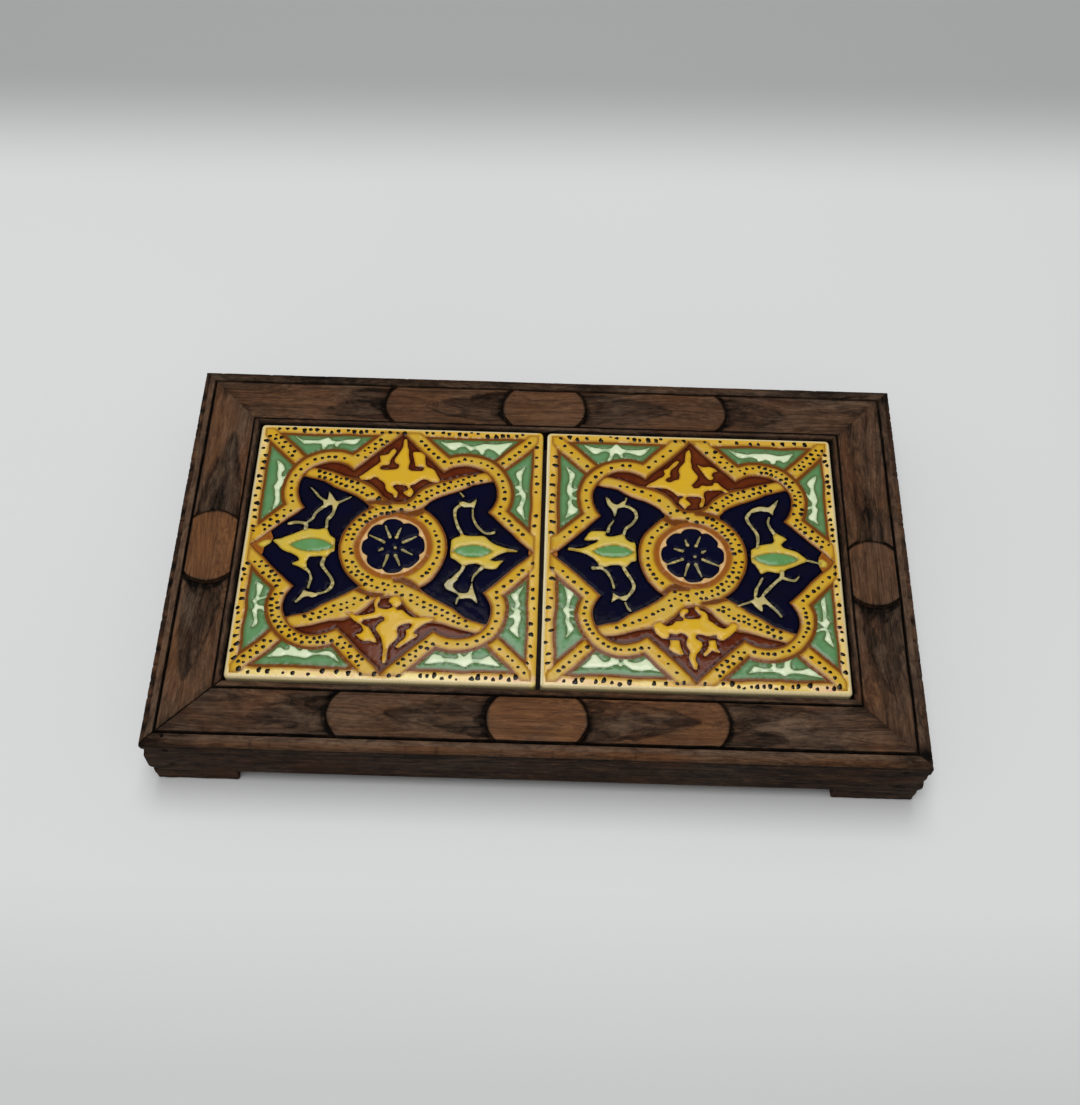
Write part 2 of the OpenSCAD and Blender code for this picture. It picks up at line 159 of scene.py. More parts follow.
def dress_wood(piece, grain, soot_and_shade, wear, pale):
    """Keeps what the wood's material reads: the grain's own place, dark stain, dirt and painted shade, wear,
    and painted highlights.
    """
    attribute = piece.data.attributes.new("grain", "FLOAT_VECTOR", "POINT")
    attribute.data.foreach_set("vector", np.asarray(grain, np.float32).ravel())
    set_value(piece, "soot_and_shade", soot_and_shade)
    set_value(piece, "wear", wear)
    set_value(piece, "pale", pale)


# Materials

def linear(value):
    """A colour channel as it looks on a screen, 0 to 255, as Blender's linear value."""
    value = value / 255
    return value / 12.92 if value <= 0.04045 else ((value + 0.055) / 1.055) ** 2.4


class Nodes:
    """A small helper that adds and links the nodes of one material.

    Colours are given as they look on a screen, 0 to 255."""

    def __init__(self, name):
        self.material = bpy.data.materials.new(name)
        self.material.use_nodes = True
        self.tree = self.material.node_tree
        self.shader = self.tree.nodes["Principled BSDF"]

    def add(self, kind, **settings):
        node = self.tree.nodes.new(kind)
        for key, value in settings.items():
            setattr(node, key, value)
        return node

    def link(self, start, end):
        self.tree.links.new(start, end)

    def feed(self, socket, value):
        """Gives a socket another socket's value, a colour or a plain number."""
        if isinstance(value, bpy.types.NodeSocket):
            self.link(value, socket)
        elif isinstance(value, tuple):
            socket.default_value = (*map(linear, value), 1)
        else:
            socket.default_value = value

    def place(self):
        return self.add("ShaderNodeTexCoord").outputs["Object"]

    def axes(self, vector):
        node = self.add("ShaderNodeSeparateXYZ")
        self.link(vector, node.inputs[0])
        return node.outputs

    def attribute(self, name, output="Fac"):
        return self.add("ShaderNodeAttribute", attribute_name=name).outputs[output]

    def noise(self, vector, scale, detail=3.0, roughness=0.5, distortion=0.0):
        node = self.add("ShaderNodeTexNoise")
        self.link(vector, node.inputs["Vector"])
        node.inputs["Scale"].default_value = scale
        node.inputs["Detail"].default_value = detail
        node.inputs["Roughness"].default_value = roughness
        node.inputs["Distortion"].default_value = distortion
        return node.outputs["Fac"]

    def streaks(self, vector, scales, *noise_settings, start=(0, 0, 0)):
        """Noise with its own scale along each axis."""
        node = self.add("ShaderNodeMapping")
        self.link(vector, node.inputs["Vector"])
        node.inputs["Scale"].default_value = scales
        node.inputs["Location"].default_value = start
        return self.noise(node.outputs["Vector"], 1.0, *noise_settings)

    def ramp(self, value, low, high, to_low=0.0, to_high=1.0):
        node = self.add("ShaderNodeMapRange", clamp=True)
        self.link(value, node.inputs["Value"])
        node.inputs["From Min"].default_value = low
        node.inputs["From Max"].default_value = high
        node.inputs["To Min"].default_value = to_low
        node.inputs["To Max"].default_value = to_high
        return node.outputs["Result"]

    def math(self, operation, a, b):
        node = self.add("ShaderNodeMath", operation=operation)
        self.feed(node.inputs[0], a)
        self.feed(node.inputs[1], b)
        return node.outputs[0]

    def mix(self, factor, a, b):
        """Sockets 6, 7 and 2 are the two colours and the mixed one."""
        node = self.add("ShaderNodeMix", data_type="RGBA")
        self.feed(node.inputs[0], factor)
        self.feed(node.inputs[6], a)
        self.feed(node.inputs[7], b)
        return node.outputs[2]

    def tint(self, base, value, low, high, colour, least=0.0, most=1.0):
        """Lays a colour over the base as a value goes from low to high."""
        return self.mix(self.ramp(value, low, high, least, most), base, colour)

    def bump(self, height, strength, distance, before=None):
        node = self.add("ShaderNodeBump")
        node.inputs["Strength"].default_value = strength
        node.inputs["Distance"].default_value = distance
        self.link(height, node.inputs["Height"])
        if before is not None:
            self.link(before, node.inputs["Normal"])
        return node.outputs["Normal"]

    def finish(self, colour, roughness, normal, **values):
        self.link(colour, self.shader.inputs["Base Color"])
        self.feed(self.shader.inputs["Roughness"], roughness)
        self.link(normal, self.shader.inputs["Normal"])
        for key, value in values.items():
            self.shader.inputs[key.replace("_", " ")].default_value = value
        return self.material


def bent_grain(n, grain):
    """The grain's place, pushed aside here and there so that its lines swing."""
    drift = n.streaks(grain, (0.012, 0.07, 0.07), 2.0)
    push = n.add("ShaderNodeCombineXYZ")
    n.link(drift, push.inputs["Y"])
    n.link(drift, push.inputs["Z"])
    bend = n.add("ShaderNodeVectorMath", operation="MULTIPLY_ADD")
    n.link(push.outputs[0], bend.inputs[0])
    bend.inputs[1].default_value = (0, 26, 18)
    n.link(grain, bend.inputs[2])
    return bend.outputs[0]


def stained_wood(n, grain, streaks, rings, hewn, blotch):
    """Walnut stain: dark and lighter streaks, red and black blotches, and a grey veil."""
    tone = n.math("ADD", n.math("MULTIPLY", streaks, 0.5), n.math("MULTIPLY", hewn, 0.5))
    tone = n.math("ADD", tone, n.math("MULTIPLY", n.math("SUBTRACT", rings, 0.5), 0.6))
    base = n.tint((27, 17, 10), tone, 0.36, 0.5, (58, 38, 24))
    base = n.tint(base, tone, 0.5, 0.66, (100, 70, 46))
    base = n.tint(base, blotch, 0.46, 0.66, (84, 48, 28), 0.0, 0.5)
    base = n.tint(base, blotch, 0.44, 0.28, (30, 20, 13), 0.0, 0.55)
    grey = n.tint((28, 22, 17), tone, 0.36, 0.64, (94, 77, 63))
    veil = n.streaks(grain, (0.02, 0.05, 0.05), 3.0, 0.6, start=(31, 7, 3))
    return n.tint(base, veil, 0.4, 0.62, grey, 0.1, 0.75)


def wood_material():
    """Dark walnut stain over streaky grain. The grain vector runs along, across and up."""
    n = Nodes("walnut_stain")
    grain = n.attribute("grain", "Vector")
    wear = n.attribute("wear")
    soot_and_shade = n.attribute("soot_and_shade")
    flow = bent_grain(n, grain)
    rings = n.streaks(flow, (0.008, 0.4, 0.4), 4.0, 0.62)
    streaks = n.streaks(flow, (0.05, 1.5, 1.5), 5.0, 0.65)
    pores = n.streaks(flow, (0.22, 4.0, 4.0), 2.0, 0.7)
    hewn = n.streaks(grain, (0.16, 0.42, 0.42), 5.0, 0.7, 0.8)
    blotch = n.streaks(grain, (0.05, 0.12, 0.12), 4.0, 0.62, 0.5)
    flecks = n.streaks(grain, (0.42, 1.1, 1.1), 3.0, 0.7)
    base = stained_wood(n, grain, streaks, rings, hewn, blotch)
    bare = n.tint((80, 49, 27), streaks, 0.34, 0.66, (118, 78, 46))
    base = n.mix(n.math("MULTIPLY", wear, n.ramp(blotch, 0.25, 0.58, 0.6, 1.0)), base, bare)
    base = n.tint(base, pores, 0.56, 0.7, (27, 17, 10), 0.0, 0.6)
    # Painted highlights in a light greyish colour, where the pale value is high: along the bead's top, on
    # the flats in the hollows and on one nail head
    cut = n.tint((62, 47, 37), hewn, 0.36, 0.62, (108, 86, 68))
    pale = n.math("MULTIPLY", n.attribute("pale"), n.ramp(streaks, 0.3, 0.6, 0.35, 1.0))
    base = n.mix(pale, base, cut)
    # Near black where the wood holds dark stain and dirt, and where shade is painted: grooves, cuts,
    # hollows, nicks, holes, the outer face, the back, the lip by the tiles and the feet
    darkening = n.math("MULTIPLY", soot_and_shade, n.ramp(hewn, 0.34, 0.66, 1.25, 0.75))
    base = n.mix(darkening, base, (10, 7, 5))
    base = n.tint(base, flecks, 0.66, 0.76, (16, 11, 7), 0.0, 0.6)
    polish = n.math("SUBTRACT", n.math("ADD", streaks, soot_and_shade), n.math("MULTIPLY", wear, 0.2))
    roughness = n.ramp(polish, 0.1, 1.3, 0.5, 0.95)
    normal = n.bump(hewn, 0.55, 0.0006)
    normal = n.bump(streaks, 0.55, 0.0003, normal)
    normal = n.bump(pores, 0.5, 0.00012, normal)
    return n.finish(base, roughness, normal, Specular_IOR_Level=0.08)


def plywood_material():
    """Raw plywood with darker lines along its grain, painted near black on top as shade, seen in the tile
    joint.
    """
    n = Nodes("raw_plywood")
    place = n.place()
    lines = n.streaks(place, (16, 420, 420), 4.0, 0.6, 0.3)
    broad = n.streaks(place, (5, 60, 60), 3.0, 0.5, 1.2)
    stains = n.noise(place, 34.0, 4.0, 0.6)
    colour = n.tint((150, 116, 80), lines, 0.35, 0.65, (190, 158, 118))
    colour = n.tint(colour, broad, 0.45, 0.62, (128, 92, 60), 0.0, 0.5)
    colour = n.tint(colour, stains, 0.52, 0.75, (96, 72, 52), 0.0, 0.45)
    top = (TILE_BOTTOM - BED_THICKNESS) * MM
    # Painted shade: the top, seen only down the tile joint, is near black
    colour = n.tint(colour, n.axes(place)["Z"], top - 0.0003, top - 0.0001, (22, 17, 13), 0.0, 0.95)
    roughness = n.ramp(broad, 0.3, 0.7, 0.6, 0.8)
    return n.finish(colour, roughness, n.bump(lines, 0.5, 0.0002), Specular_IOR_Level=0.25)


def mortar_material():
    """Grey, sandy adhesive with darker lumps."""
    n = Nodes("tile_adhesive")
    place = n.place()
    sand = n.noise(place, 1400.0, 3.0, 0.7)
    lumps = n.noise(place, 180.0, 4.0, 0.6)
    colour = n.tint((176, 170, 158), sand, 0.35, 0.65, (208, 203, 192))
    colour = n.tint(colour, lumps, 0.5, 0.8, (150, 144, 132), 0.0, 0.5)
    normal = n.bump(lumps, 0.7, 0.0006)
    normal = n.bump(sand, 0.6, 0.0002, normal)
    return n.finish(colour, n.ramp(sand, 0.3, 0.7, 0.75, 0.95), normal)


def steel_material(name, low, high, metallic, dull, specular, rust_colour):
    """Drawn wire with marks along it and rust; dull holds its least and most roughness."""
    n = Nodes(name)
    place = n.place()
    marks = n.streaks(place, (900, 900, 2600), 3.0, 0.6)
    rust = n.noise(place, 700.0, 4.0, 0.65)
    colour = n.tint(low, marks, 0.3, 0.7, high)
    colour = n.tint(colour, rust, 0.42, 0.58, rust_colour, 0.0, 0.85)
    return n.finish(colour, n.ramp(rust, 0.4, 0.7, *dull), n.bump(marks, 0.4, 0.00004),
                    Metallic=metallic, Specular_IOR_Level=specular)


def glaze_material(name, body, deep, rim, rim_share=0.8, reach=0.95, specular=0.22, rough=(0.1, 0.2)):
    """Glossy enamel that pools: its own colour in the middle, another where it thins out."""
    n = Nodes(name)
    place = n.place()
    pool = n.noise(place, 150.0, 4.0, 0.55, 0.4)
    grit = n.noise(place, 1500.0, 3.0, 0.7)
    wave = n.noise(place, 260.0, 2.0, 0.5)
    colour = n.tint(body, pool, 0.36, 0.66, deep)
    inward = n.math("ADD", n.attribute("rim"), n.math("MULTIPLY", grit, 0.3))
    colour = n.tint(colour, inward, 0.12, reach, rim, rim_share, 0.0)
    colour = n.tint(colour, grit, 0.58, 0.78, rim, 0.0, 0.22)
    normal = n.bump(wave, 0.3, 0.0002)
    normal = n.bump(grit, 0.12, 0.00005, normal)
    return n.finish(colour, n.ramp(pool, 0.3, 0.7, *rough), normal, IOR=1.5, Specular_IOR_Level=specular)


def border_material():
    """The tile's own edge: yellow over the border strip, worn to cream at the rounded edge, paled by painted
    reflection at the front and brightened by a painted highlight by the joint.
    """
    n = Nodes("glaze_border")
    place = n.place()
    pool = n.noise(place, 120.0, 4.0, 0.6, 0.6)
    patch = n.noise(place, 60.0, 4.0, 0.65)
    grit = n.noise(place, 1500.0, 3.0, 0.7)
    edge = n.attribute("edge")
    paling_and_reflection = n.attribute("paling_and_reflection")
    yellow = n.tint((198, 154, 44), pool, 0.36, 0.66, (206, 170, 70))
    pale = n.tint((226, 206, 130), pool, 0.46, 0.66, (216, 172, 130))
    # The yellow turns pinkish cream in random patches and where the border is painted paler, which at the
    # front edge is painted reflection
    worn = n.math("ADD", paling_and_reflection, n.math("MULTIPLY", n.math("SUBTRACT", patch, 0.5), 1.6))
    yellow = n.tint(yellow, worn, 0.3, 0.7, pale)
    cream = n.tint((216, 200, 154), grit, 0.3, 0.7, (196, 176, 128))
    # A painted highlight: the cream by the right tile's joint is bright
    cream = n.tint(cream, paling_and_reflection, 0.78, 0.98, (238, 228, 190))
    ragged = n.math("ADD", edge, n.math("MULTIPLY", pool, 0.2))
    colour = n.tint(cream, ragged, 0.28, 0.42, yellow)
    brown_edge = n.ramp(n.attribute("rim"), 0.0, 0.7, 0.8, 0.0)
    colour = n.mix(n.math("MULTIPLY", brown_edge, n.ramp(edge, 0.35, 0.6)), colour, (128, 78, 28))
    normal = n.bump(n.noise(place, 240.0, 2.0, 0.5), 0.35, 0.00025)
    return n.finish(colour, n.ramp(pool, 0.3, 0.7, 0.1, 0.24), normal, IOR=1.5, Specular_IOR_Level=0.25)


def clay_material():
    """The bare, fired clay of a tile's sides and underside."""
    n = Nodes("bisque_clay")
    place = n.place()
    grains = n.noise(place, 1100.0, 4.0, 0.7)
    broad = n.noise(place, 80.0, 3.0, 0.5)
    colour = n.tint((196, 140, 102), grains, 0.3, 0.7, (218, 170, 132))
    colour = n.tint(colour, broad, 0.4, 0.7, (206, 160, 124), 0.0, 0.5)
    return n.finish(colour, n.ramp(grains, 0.3, 0.7, 0.75, 0.92), n.bump(grains, 0.5, 0.00015))


def floor_material():
    """A matt pale sheet, with painted shade that darkens it far behind the trivet, and a little in front of
    it.
    """
    n = Nodes("floor_sheet")
    place = n.place()
    axes = n.axes(place)
    # Painted shade: darker far behind the trivet
    far = n.math("ADD", axes["Y"], n.math("MULTIPLY", axes["X"], -0.02))
    far = n.ramp(far, 0.212, 0.292)
    soft = n.noise(place, 3.0, 2.0)
    colour = n.tint((211, 212, 212), soft, 0.3, 0.7, (214, 215, 215))
    colour = n.mix(n.math("MULTIPLY", eased(n, far), 0.97), colour, (161, 163, 163))
    # Painted shade: a little darker in front of the trivet
    colour = n.tint(colour, axes["Y"], -0.18, -0.115, (194, 195, 195), 0.85, 0.0)
    normal = n.bump(n.noise(place, 900.0, 2.0), 0.05, 0.0001)
    return n.finish(colour, 0.85, normal, Specular_IOR_Level=0.1)


def eased(n, value):
    """Eases a value between 0 and 1."""
    square = n.math("MULTIPLY", value, value)
    return n.math("MULTIPLY", square, n.math("SUBTRACT", 3.0, n.math("MULTIPLY", value, 2.0)))


# Carved rails. Places along a rail run from its middle, c runs outward from the recess, z up from
# the rail's underside. A round end has: its place, the way it faces, how far the painted shade of
# its black cut reaches into the hollow before it, its gouge strokes (start and end across, half
# width, length, depth), and where the carver left them, the flats of the last cuts, painted pale as
# highlights (place, middle, half length, half width, strength), and the number of straight facets
# in its outline.

RAILS = {
    "front": {
        "length": RECESS_X, "seed": 1, "stop_seed": 1, "step": 0.45,
        "cracks": (0.42, 0.06), "nicks": 0.25, "rubbed": 0.18,
        "pills": [(-17.3, 17.3, 0.8), (17.4, 65.8, 0.62), (-71.7, -17.4, 0.24)],
        "stops": [
            (17.28, 1, 0.9,
             [(0.6, -0.9, 7.6, 39, 1.7), (5.6, 5.2, 2.2, 8, 2.4), (-4.8, -4.2, 2, 6, 2.4)],
             [(13, 0.4, 7.5, 4.6, 0.6), (24, -2.4, 6, 2.6, 0.4)]),
            (-17.28, -1, 1.5,
             [(0.4, -1.2, 6.8, 35, 1.8), (4.6, 5.4, 2.6, 9, 2.4), (0.2, 0, 1.5, 4.5, 2.6)],
             [(24, 3.8, 9, 3.4, 0.55)]),
            (65.9, 1, 1.0,
             [(-3.4, -5.8, 3.8, 26, 1.8), (3.6, 5.6, 3.8, 20, 1.9), (0, 0.4, 2.4, 9, 2.2)],
             [(20, -0.4, 8.5, 4.8, 0.7)]),
            (-71.8, -1, 1.4,
             [(0.2, 1.2, 6.8, 27, 1.6), (-4.6, -3.6, 2.4, 8, 2.5), (-0.6, -0.4, 1.5, 5, 2.6)],
             [(13, 0.6, 8, 3.8, 0.5)])]},
    "back": {
        "length": RECESS_X, "seed": 2, "stop_seed": 5, "step": 0.45,
        "cracks": (0.06, 0.08), "nicks": 0.3, "rubbed": 0.28,
        "pills": [(-15.2, 16.8, 0.42), (-69.3, -15.2, 0.25), (16.8, 62.2, 0.32)],
        "stops": [
            (16.74, 1, 1.1,
             [(-0.8, -0.4, 6.6, 30, 1.7), (4.6, 4, 2.6, 13, 2.2), (-1.5, -1.5, 1.6, 5, 2.5)]),
            (-15.12, -1, 0.9,
             [(0.4, -0.5, 7.2, 34, 1.6), (-4.8, -5.2, 2.2, 11, 2.3), (3, 3.4, 2, 7, 2.4)]),
            (62.3, 1, 1.1,
             [(-2.2, -3.6, 4.8, 26, 1.8), (4.4, 5.2, 3, 15, 2.1), (0, 0, 1.8, 6, 2.4)]),
            (-69.4, -1, 1.3,
             [(0.4, -1.2, 6.6, 24, 1.7), (4.8, 5, 2.4, 11, 2.3), (-3.4, -4, 1.8, 10, 2.5)])]},
    "left": {
        "length": RECESS_Y, "seed": 3, "stop_seed": 9, "step": 0.42,
        "cracks": (0.08, 0.42), "nicks": 0.9, "rubbed": 0.45,
        "pills": [(-14.7, 15.4, 0.95)],
        "stops": [
            (15.44, 1, 2.0,
             [(0.2, 1.4, 6.9, 40, 1.6), (-3.4, -3.2, 1.9, 5.2, 2.6), (0.6, 0.6, 1.6, 5.6, 2.6),
              (4, 4.2, 1.7, 4.4, 2.6)]),
            (-14.69, -1, 0.5,
             [(-3.6, -1.6, 4.8, 36, 1.7), (0.8, 0.2, 1.1, 17, 1.9), (4.8, 2.4, 2.8, 24, 1.6)],
             [(12, 3, 8, 2.6, 0.4)], 4)]},
    "right": {
        "length": RECESS_Y, "seed": 4, "stop_seed": 11, "step": 0.42,
        "cracks": (0.06, 0.06), "nicks": 0.8, "rubbed": 0.15,
        "pills": [(-17.5, 9.4, 0.3)],
        "stops": [
            (9.4, 1, 0.6,
             [(0.4, 1.6, 4.4, 19, 1.7), (-1.6, -2.2, 3, 33, 1.3), (-3.6, -3, 1.5, 4, 2.5)]),
            (-17.5, -1, 2.1,
             [(0.6, 2, 7.2, 35, 1.6), (-3.2, -3, 2.3, 6, 2.6), (3.2, 3, 2.3, 6.4, 2.6)],
             [(21, -0.4, 9, 3.2, 0.45)])]}}


class Stop:
    """A round end of the band, with the hollow that is carved before it."""

    def __init__(self, seed, place, facing, shade, strokes, flats=(), facets=0):
        self.seed = seed
        self.place = place
        self.facing = facing
        self.shade = shade
        self.strokes = strokes
        self.flats = flats
        self.facets = facets

    def gouged(self, u, w):
        """How deep the strokes reach at u ahead of the round end and w across, and their rims."""
        depth = np.zeros(np.broadcast(u, w).shape)
        edge = np.zeros_like(depth)
        behind = 1.6
        for k, (w0, w1, half, length, deep) in enumerate(self.strokes):
            t = np.clip((u + behind) / (length + behind), 0, 1)
            sway = 0.5 * np.sin(2.6 * t * math.pi + w0) + 0.4 * soft_noise(u * 0.16, w * 0, self.seed + k)
            middle = w0 + (w1 - w0) * t + sway * t
            ragged = 1 + 0.16 * soft_noise(u * 0.3, np.sign(w - middle) * 3.5, self.seed + 20 + k)
            wide = half * (1 - t ** 2.4) ** 0.9 * ragged + 0.01
            across = np.abs(w - middle) / wide
            depth = np.maximum(depth, deep * (1 - t) ** 0.6 * np.clip(1 - across ** 2, 0, 1) ** 0.5)
            line = np.exp(-((across - 0.9) * wide / 0.9) ** 2) * (t < 1) * (u > -behind)
            edge = np.maximum(edge, line * (0.5 + 0.4 * t))
        return depth, edge

    def flattened(self, u, w):
        """The share of flat left by the last cuts within the hollow, painted pale as a highlight."""
        share = np.zeros(np.broadcast(u, w).shape)
        for at, middle, half_u, half_w, strength in self.flats:
            lean = w - middle + 0.25 * (u - at) / half_u
            away = (np.abs(u - at) / half_u) ** 1.2 + (np.abs(lean) / half_w) ** 1.2
            away = away + 0.3 * soft_noise(u * 0.35, w * 0.7, self.seed + 60)
            share = np.maximum(share, strength * smooth((1 - away) / 0.5))
        return share

    def outline(self, w, radius):
        """How far ahead of the crown the round outline lies, across the band."""
        reach = BAND_W / 2 + 0.05
        w = np.clip(w, -reach, reach)
        line = np.sqrt(radius ** 2 - w ** 2)
        if self.facets:
            nodes = np.linspace(-reach, reach, self.facets + 1)
            nodes = nodes + 0.6 * np.sin(nodes * 0.9 + self.seed)
            nodes[0], nodes[-1] = -reach, reach
            line = 0.65 * np.interp(w, nodes, np.sqrt(radius ** 2 - nodes ** 2)) + 0.35 * line
        rough = 0.16 * soft_noise(w * 0.4 + 7, np.full_like(w, self.seed * 1.7), 5)
        return line - STOP_R + rough


def rail_section():
    """Places across a rail: from the inner face over the top, down the outside and under."""
    rows = []

    def run(c0, z0, c1, z1, count, zone):
        for k in range(count):
            t = k / count
            rows.append((c0 + (c1 - c0) * t, z0 + (z1 - z0) * t, zone))

    top = RAIL_H
    run(0, REBATE_H, 0, top - 0.4, 4, "inner")
    run(0, top - 0.4, 0.35, top, 2, "arris")
    run(0.35, top, LIP_W, top, 4, "lip")
    run(LIP_W, top, LIP_W + INNER_GROOVE_W / 2, top - INNER_GROOVE_D, 2, "groove_in")
    run(LIP_W + INNER_GROOVE_W / 2, top - INNER_GROOVE_D, BAND_IN, top, 2, "groove_in")
    run(BAND_IN, top, BAND_OUT, top, 50, "band")
    run(BAND_OUT, top, BAND_OUT + OUTER_GROOVE_W / 2, top - OUTER_GROOVE_D, 3, "groove_out")
    run(BAND_OUT + OUTER_GROOVE_W / 2, top - OUTER_GROOVE_D, BEAD_IN, top, 3, "groove_out")
    run(BEAD_IN, top, RAIL_W - BEAD_R, top, 5, "bead")
    for k in range(7):
        a = math.radians(90 * k / 7)
        rows.append((RAIL_W - BEAD_R + BEAD_R * math.sin(a), top - BEAD_R + BEAD_R * math.cos(a), "round"))
    # The outer face's rows lie closer round the two rows of sunk brads
    levels = [top - 2.0, top - 2.5, 12.3, 11.1, 9.9, 8.7, 7.6, 1.4, 0.8, 0.35]
    for z in BRAD_Z:
        levels += [z + d for d in RAIL_HOLE_LINES]
        levels += [z - 2.4, z - 3.6] if z > 9 else [z - 2.1]
    levels = sorted(set(round(v, 3) for v in levels), reverse=True)
    rows += [(RAIL_W, z, "face") for z in levels]
    rows.append((RAIL_W - 0.12, 0.1, "face"))
    run(RAIL_W - 0.35, 0, REBATE, 0, 10, "bottom")
    run(REBATE, 0, REBATE, REBATE_H, 3, "rebate")
    run(REBATE, REBATE_H, 0, REBATE_H, 3, "rebate")
    return rows


def rail_stations(length, c, stops, cracks, step):
    """Places along a rail for each row: the mitres and round ends are followed exactly.

    Returns the places and, for each station, the round end and the role that it plays."""
    w = c - BAND_MID
    half = length / 2
    keys = []
    for side, crack in ((-1, cracks[0]), (1, cracks[1])):
        end = half + c - MITRE_CRACK * (1.0 if crack > 0.2 else 0.25)
        keys.append((side * end, None, "mitre", side * (half + BAND_MID)))
        keys.append((side * (end - 0.35), None, "", side * (half + BAND_MID - 0.35)))
    for stop in stops:
        rim = stop.outline(w, STOP_R)
        out = stop.outline(w, STOP_R + STOP_CUT_W)
        for ahead, role in ((rim - 0.3, "worn"), (rim, "rim"), (rim + 0.12, "cut"), (out - 0.06, "cut"),
                            (out + 0.06, "hollow")):
            middle = stop.place + stop.facing * float(np.interp(0, w, ahead))
            keys.append((stop.place + stop.facing * ahead, stop, role, middle))
    if length == RECESS_X:
        # The brads sit in the outer face, so their stations fan in with the mitre
        for x in (-BRAD_X, BRAD_X):
            for d in RAIL_HOLE_LINES:
                keys.append(((x + d) * (c + half) / (RAIL_W + half), None, "",
                             (x + d) * (BAND_MID + half) / (RAIL_W + half)))
    keys.sort(key=lambda key: key[3])
    places, roles = [keys[0][0]], [(keys[0][1], keys[0][2])]
    for before, after in zip(keys, keys[1:]):
        count = max(1, int(math.ceil((after[3] - before[3]) / step)))
        for k in range(1, count + 1):
            t = k / count
            places.append(before[0] * (1 - t) + after[0] * t)
            roles.append((after[1], after[2]) if k == count else (None, ""))
    return np.array(places), roles


class Rail:
    """One rail's points, as stations along it by rows round it, and what its material reads."""

    def __init__(self, side):
        plan = RAILS[side]
        rows = rail_section()
        c = np.array([row[0] for row in rows])
        self.side = side
        self.half = plan["length"] / 2
        self.long = plan["length"] == RECESS_X
        self.seed = plan["seed"]
        self.step = plan["step"]
        self.cracks = plan["cracks"]
        self.nicks = plan["nicks"]
        self.rubbed = plan["rubbed"]
        self.pills = plan["pills"]
        self.stops = [Stop(plan["stop_seed"] + k, *stop) for k, stop in enumerate(plan["stops"])]
        self.zone = np.array([row[2] for row in rows])[None, :]
        self.z0 = np.array([row[1] for row in rows])[None, :]
        self.x, self.roles = rail_stations(plan["length"], c, self.stops, self.cracks, self.step)
        self.c = np.broadcast_to(c, self.x.shape).copy()
        self.z = np.broadcast_to(self.z0, self.x.shape).copy()
        self.top = self.on("arris", "lip", "groove_in", "band", "groove_out", "bead", "round")
        self.depth = np.zeros_like(self.x)
        self.soot_and_shade = np.zeros_like(self.x)
        self.wear = np.zeros_like(self.x)
        self.pale = np.zeros_like(self.x)

    def on(self, *zones):
        """Which rows lie in the given zones of the section."""
        return np.isin(self.zone, zones)

    def noise(self, along, across, seed, over="c"):
        """Smooth noise: how fast it changes along the rail, and across it or up it."""
        return soft_noise(self.x * along, getattr(self, over) * across, self.seed + seed)

    def place(self):
        """The points' places in the frame's X and Y."""
        if self.side == "front":
            return self.x, -(RECESS_Y / 2 + self.c)
        if self.side == "back":
            return -self.x, RECESS_Y / 2 + self.c
        if self.side == "left":
            return -(RECESS_X / 2 + self.c), -self.x
        return RECESS_X / 2 + self.c, self.x

    def darken(self, shade, where=True):
        self.soot_and_shade = np.where(where, np.maximum(self.soot_and_shade, shade), self.soot_and_shade)

    def rub(self, amount, where):
        self.wear = np.where(where, np.maximum(self.wear, amount), self.wear)

    def spoil(self, shade):
        """Takes the rubbed look off where dirt and painted shade lie."""
        self.wear *= 1 - np.clip(shade, 0, 1)


def carve_hollows(r):
    """The hollows ahead of the round ends: how deep each point is, how dark it is painted as shade (more
    with the hollow's depth, near the cut and along the strokes' rims), and how pale it is painted as a
    highlight on the flats.
    """
    w = r.c - BAND_MID
    on_band = np.abs(w) <= BAND_W / 2 + 0.01
    for stop in r.stops:
        u = stop.facing * (r.x - stop.place)
        out = stop.outline(w[0], STOP_R + STOP_CUT_W)[None, :]
        ahead = (u > out + 0.03) & on_band & (u < 60)
        hollow, edge = stop.gouged(u, w)
        flat = stop.flattened(u, w)
        hollow = hollow * (1 - 0.35 * flat)
        r.depth = np.where(ahead, np.maximum(r.depth, hollow), r.depth)
        near = smooth(1 - (u - out) / (3.2 * stop.shade))
        cloud = 0.75 + 0.5 * soft_noise(u * 0.12, w * 0.4, stop.seed + 40)
        dark = 0.4 * smooth((hollow - 0.1) / 0.8) * cloud + 0.6 * near ** 1.5 + 0.5 * edge * cloud
        r.darken(dark * (1 - 0.75 * flat), ahead)
        r.pale = np.where(ahead, np.maximum(r.pale, flat), r.pale)
        # A band of black painted shade runs from the cut into the hollow, as far as the stop's shade reaches
        r.soot_and_shade = np.where(ahead & (u < out + stop.shade), 1.0, r.soot_and_shade)
        cut_round_end(r, stop, u, w, on_band)


def cut_round_end(r, stop, u, w, on_band):
    """The upright cut along a round end, and its worn rim."""
    spill = smooth(1 - (np.abs(w) - BAND_W / 2) / 1.0)
    # The cut, its rim, the worn crown before it and the hollow's start are painted near black, as shade in
    # and beside the cut
    black = {"cut": 1.0, "rim": 0.85, "worn": 0.4, "hollow": 0.9}
    for i, (owner, role) in enumerate(r.roles):
        if owner is not stop:
            continue
        r.soot_and_shade[i] = np.maximum(r.soot_and_shade[i], black[role] * spill[i])
        if role == "cut":
            r.depth[i] = np.maximum(r.depth[i], STOP_CUT_D * spill[i])
        if role == "rim":
            r.depth[i] = np.where(on_band[i], 0.1, r.depth[i])
        if role == "hollow":
            gouged = np.maximum(stop.gouged(u[i], w[i])[0], 0.25)
            r.depth[i] = np.where(on_band[i], gouged, r.depth[i])


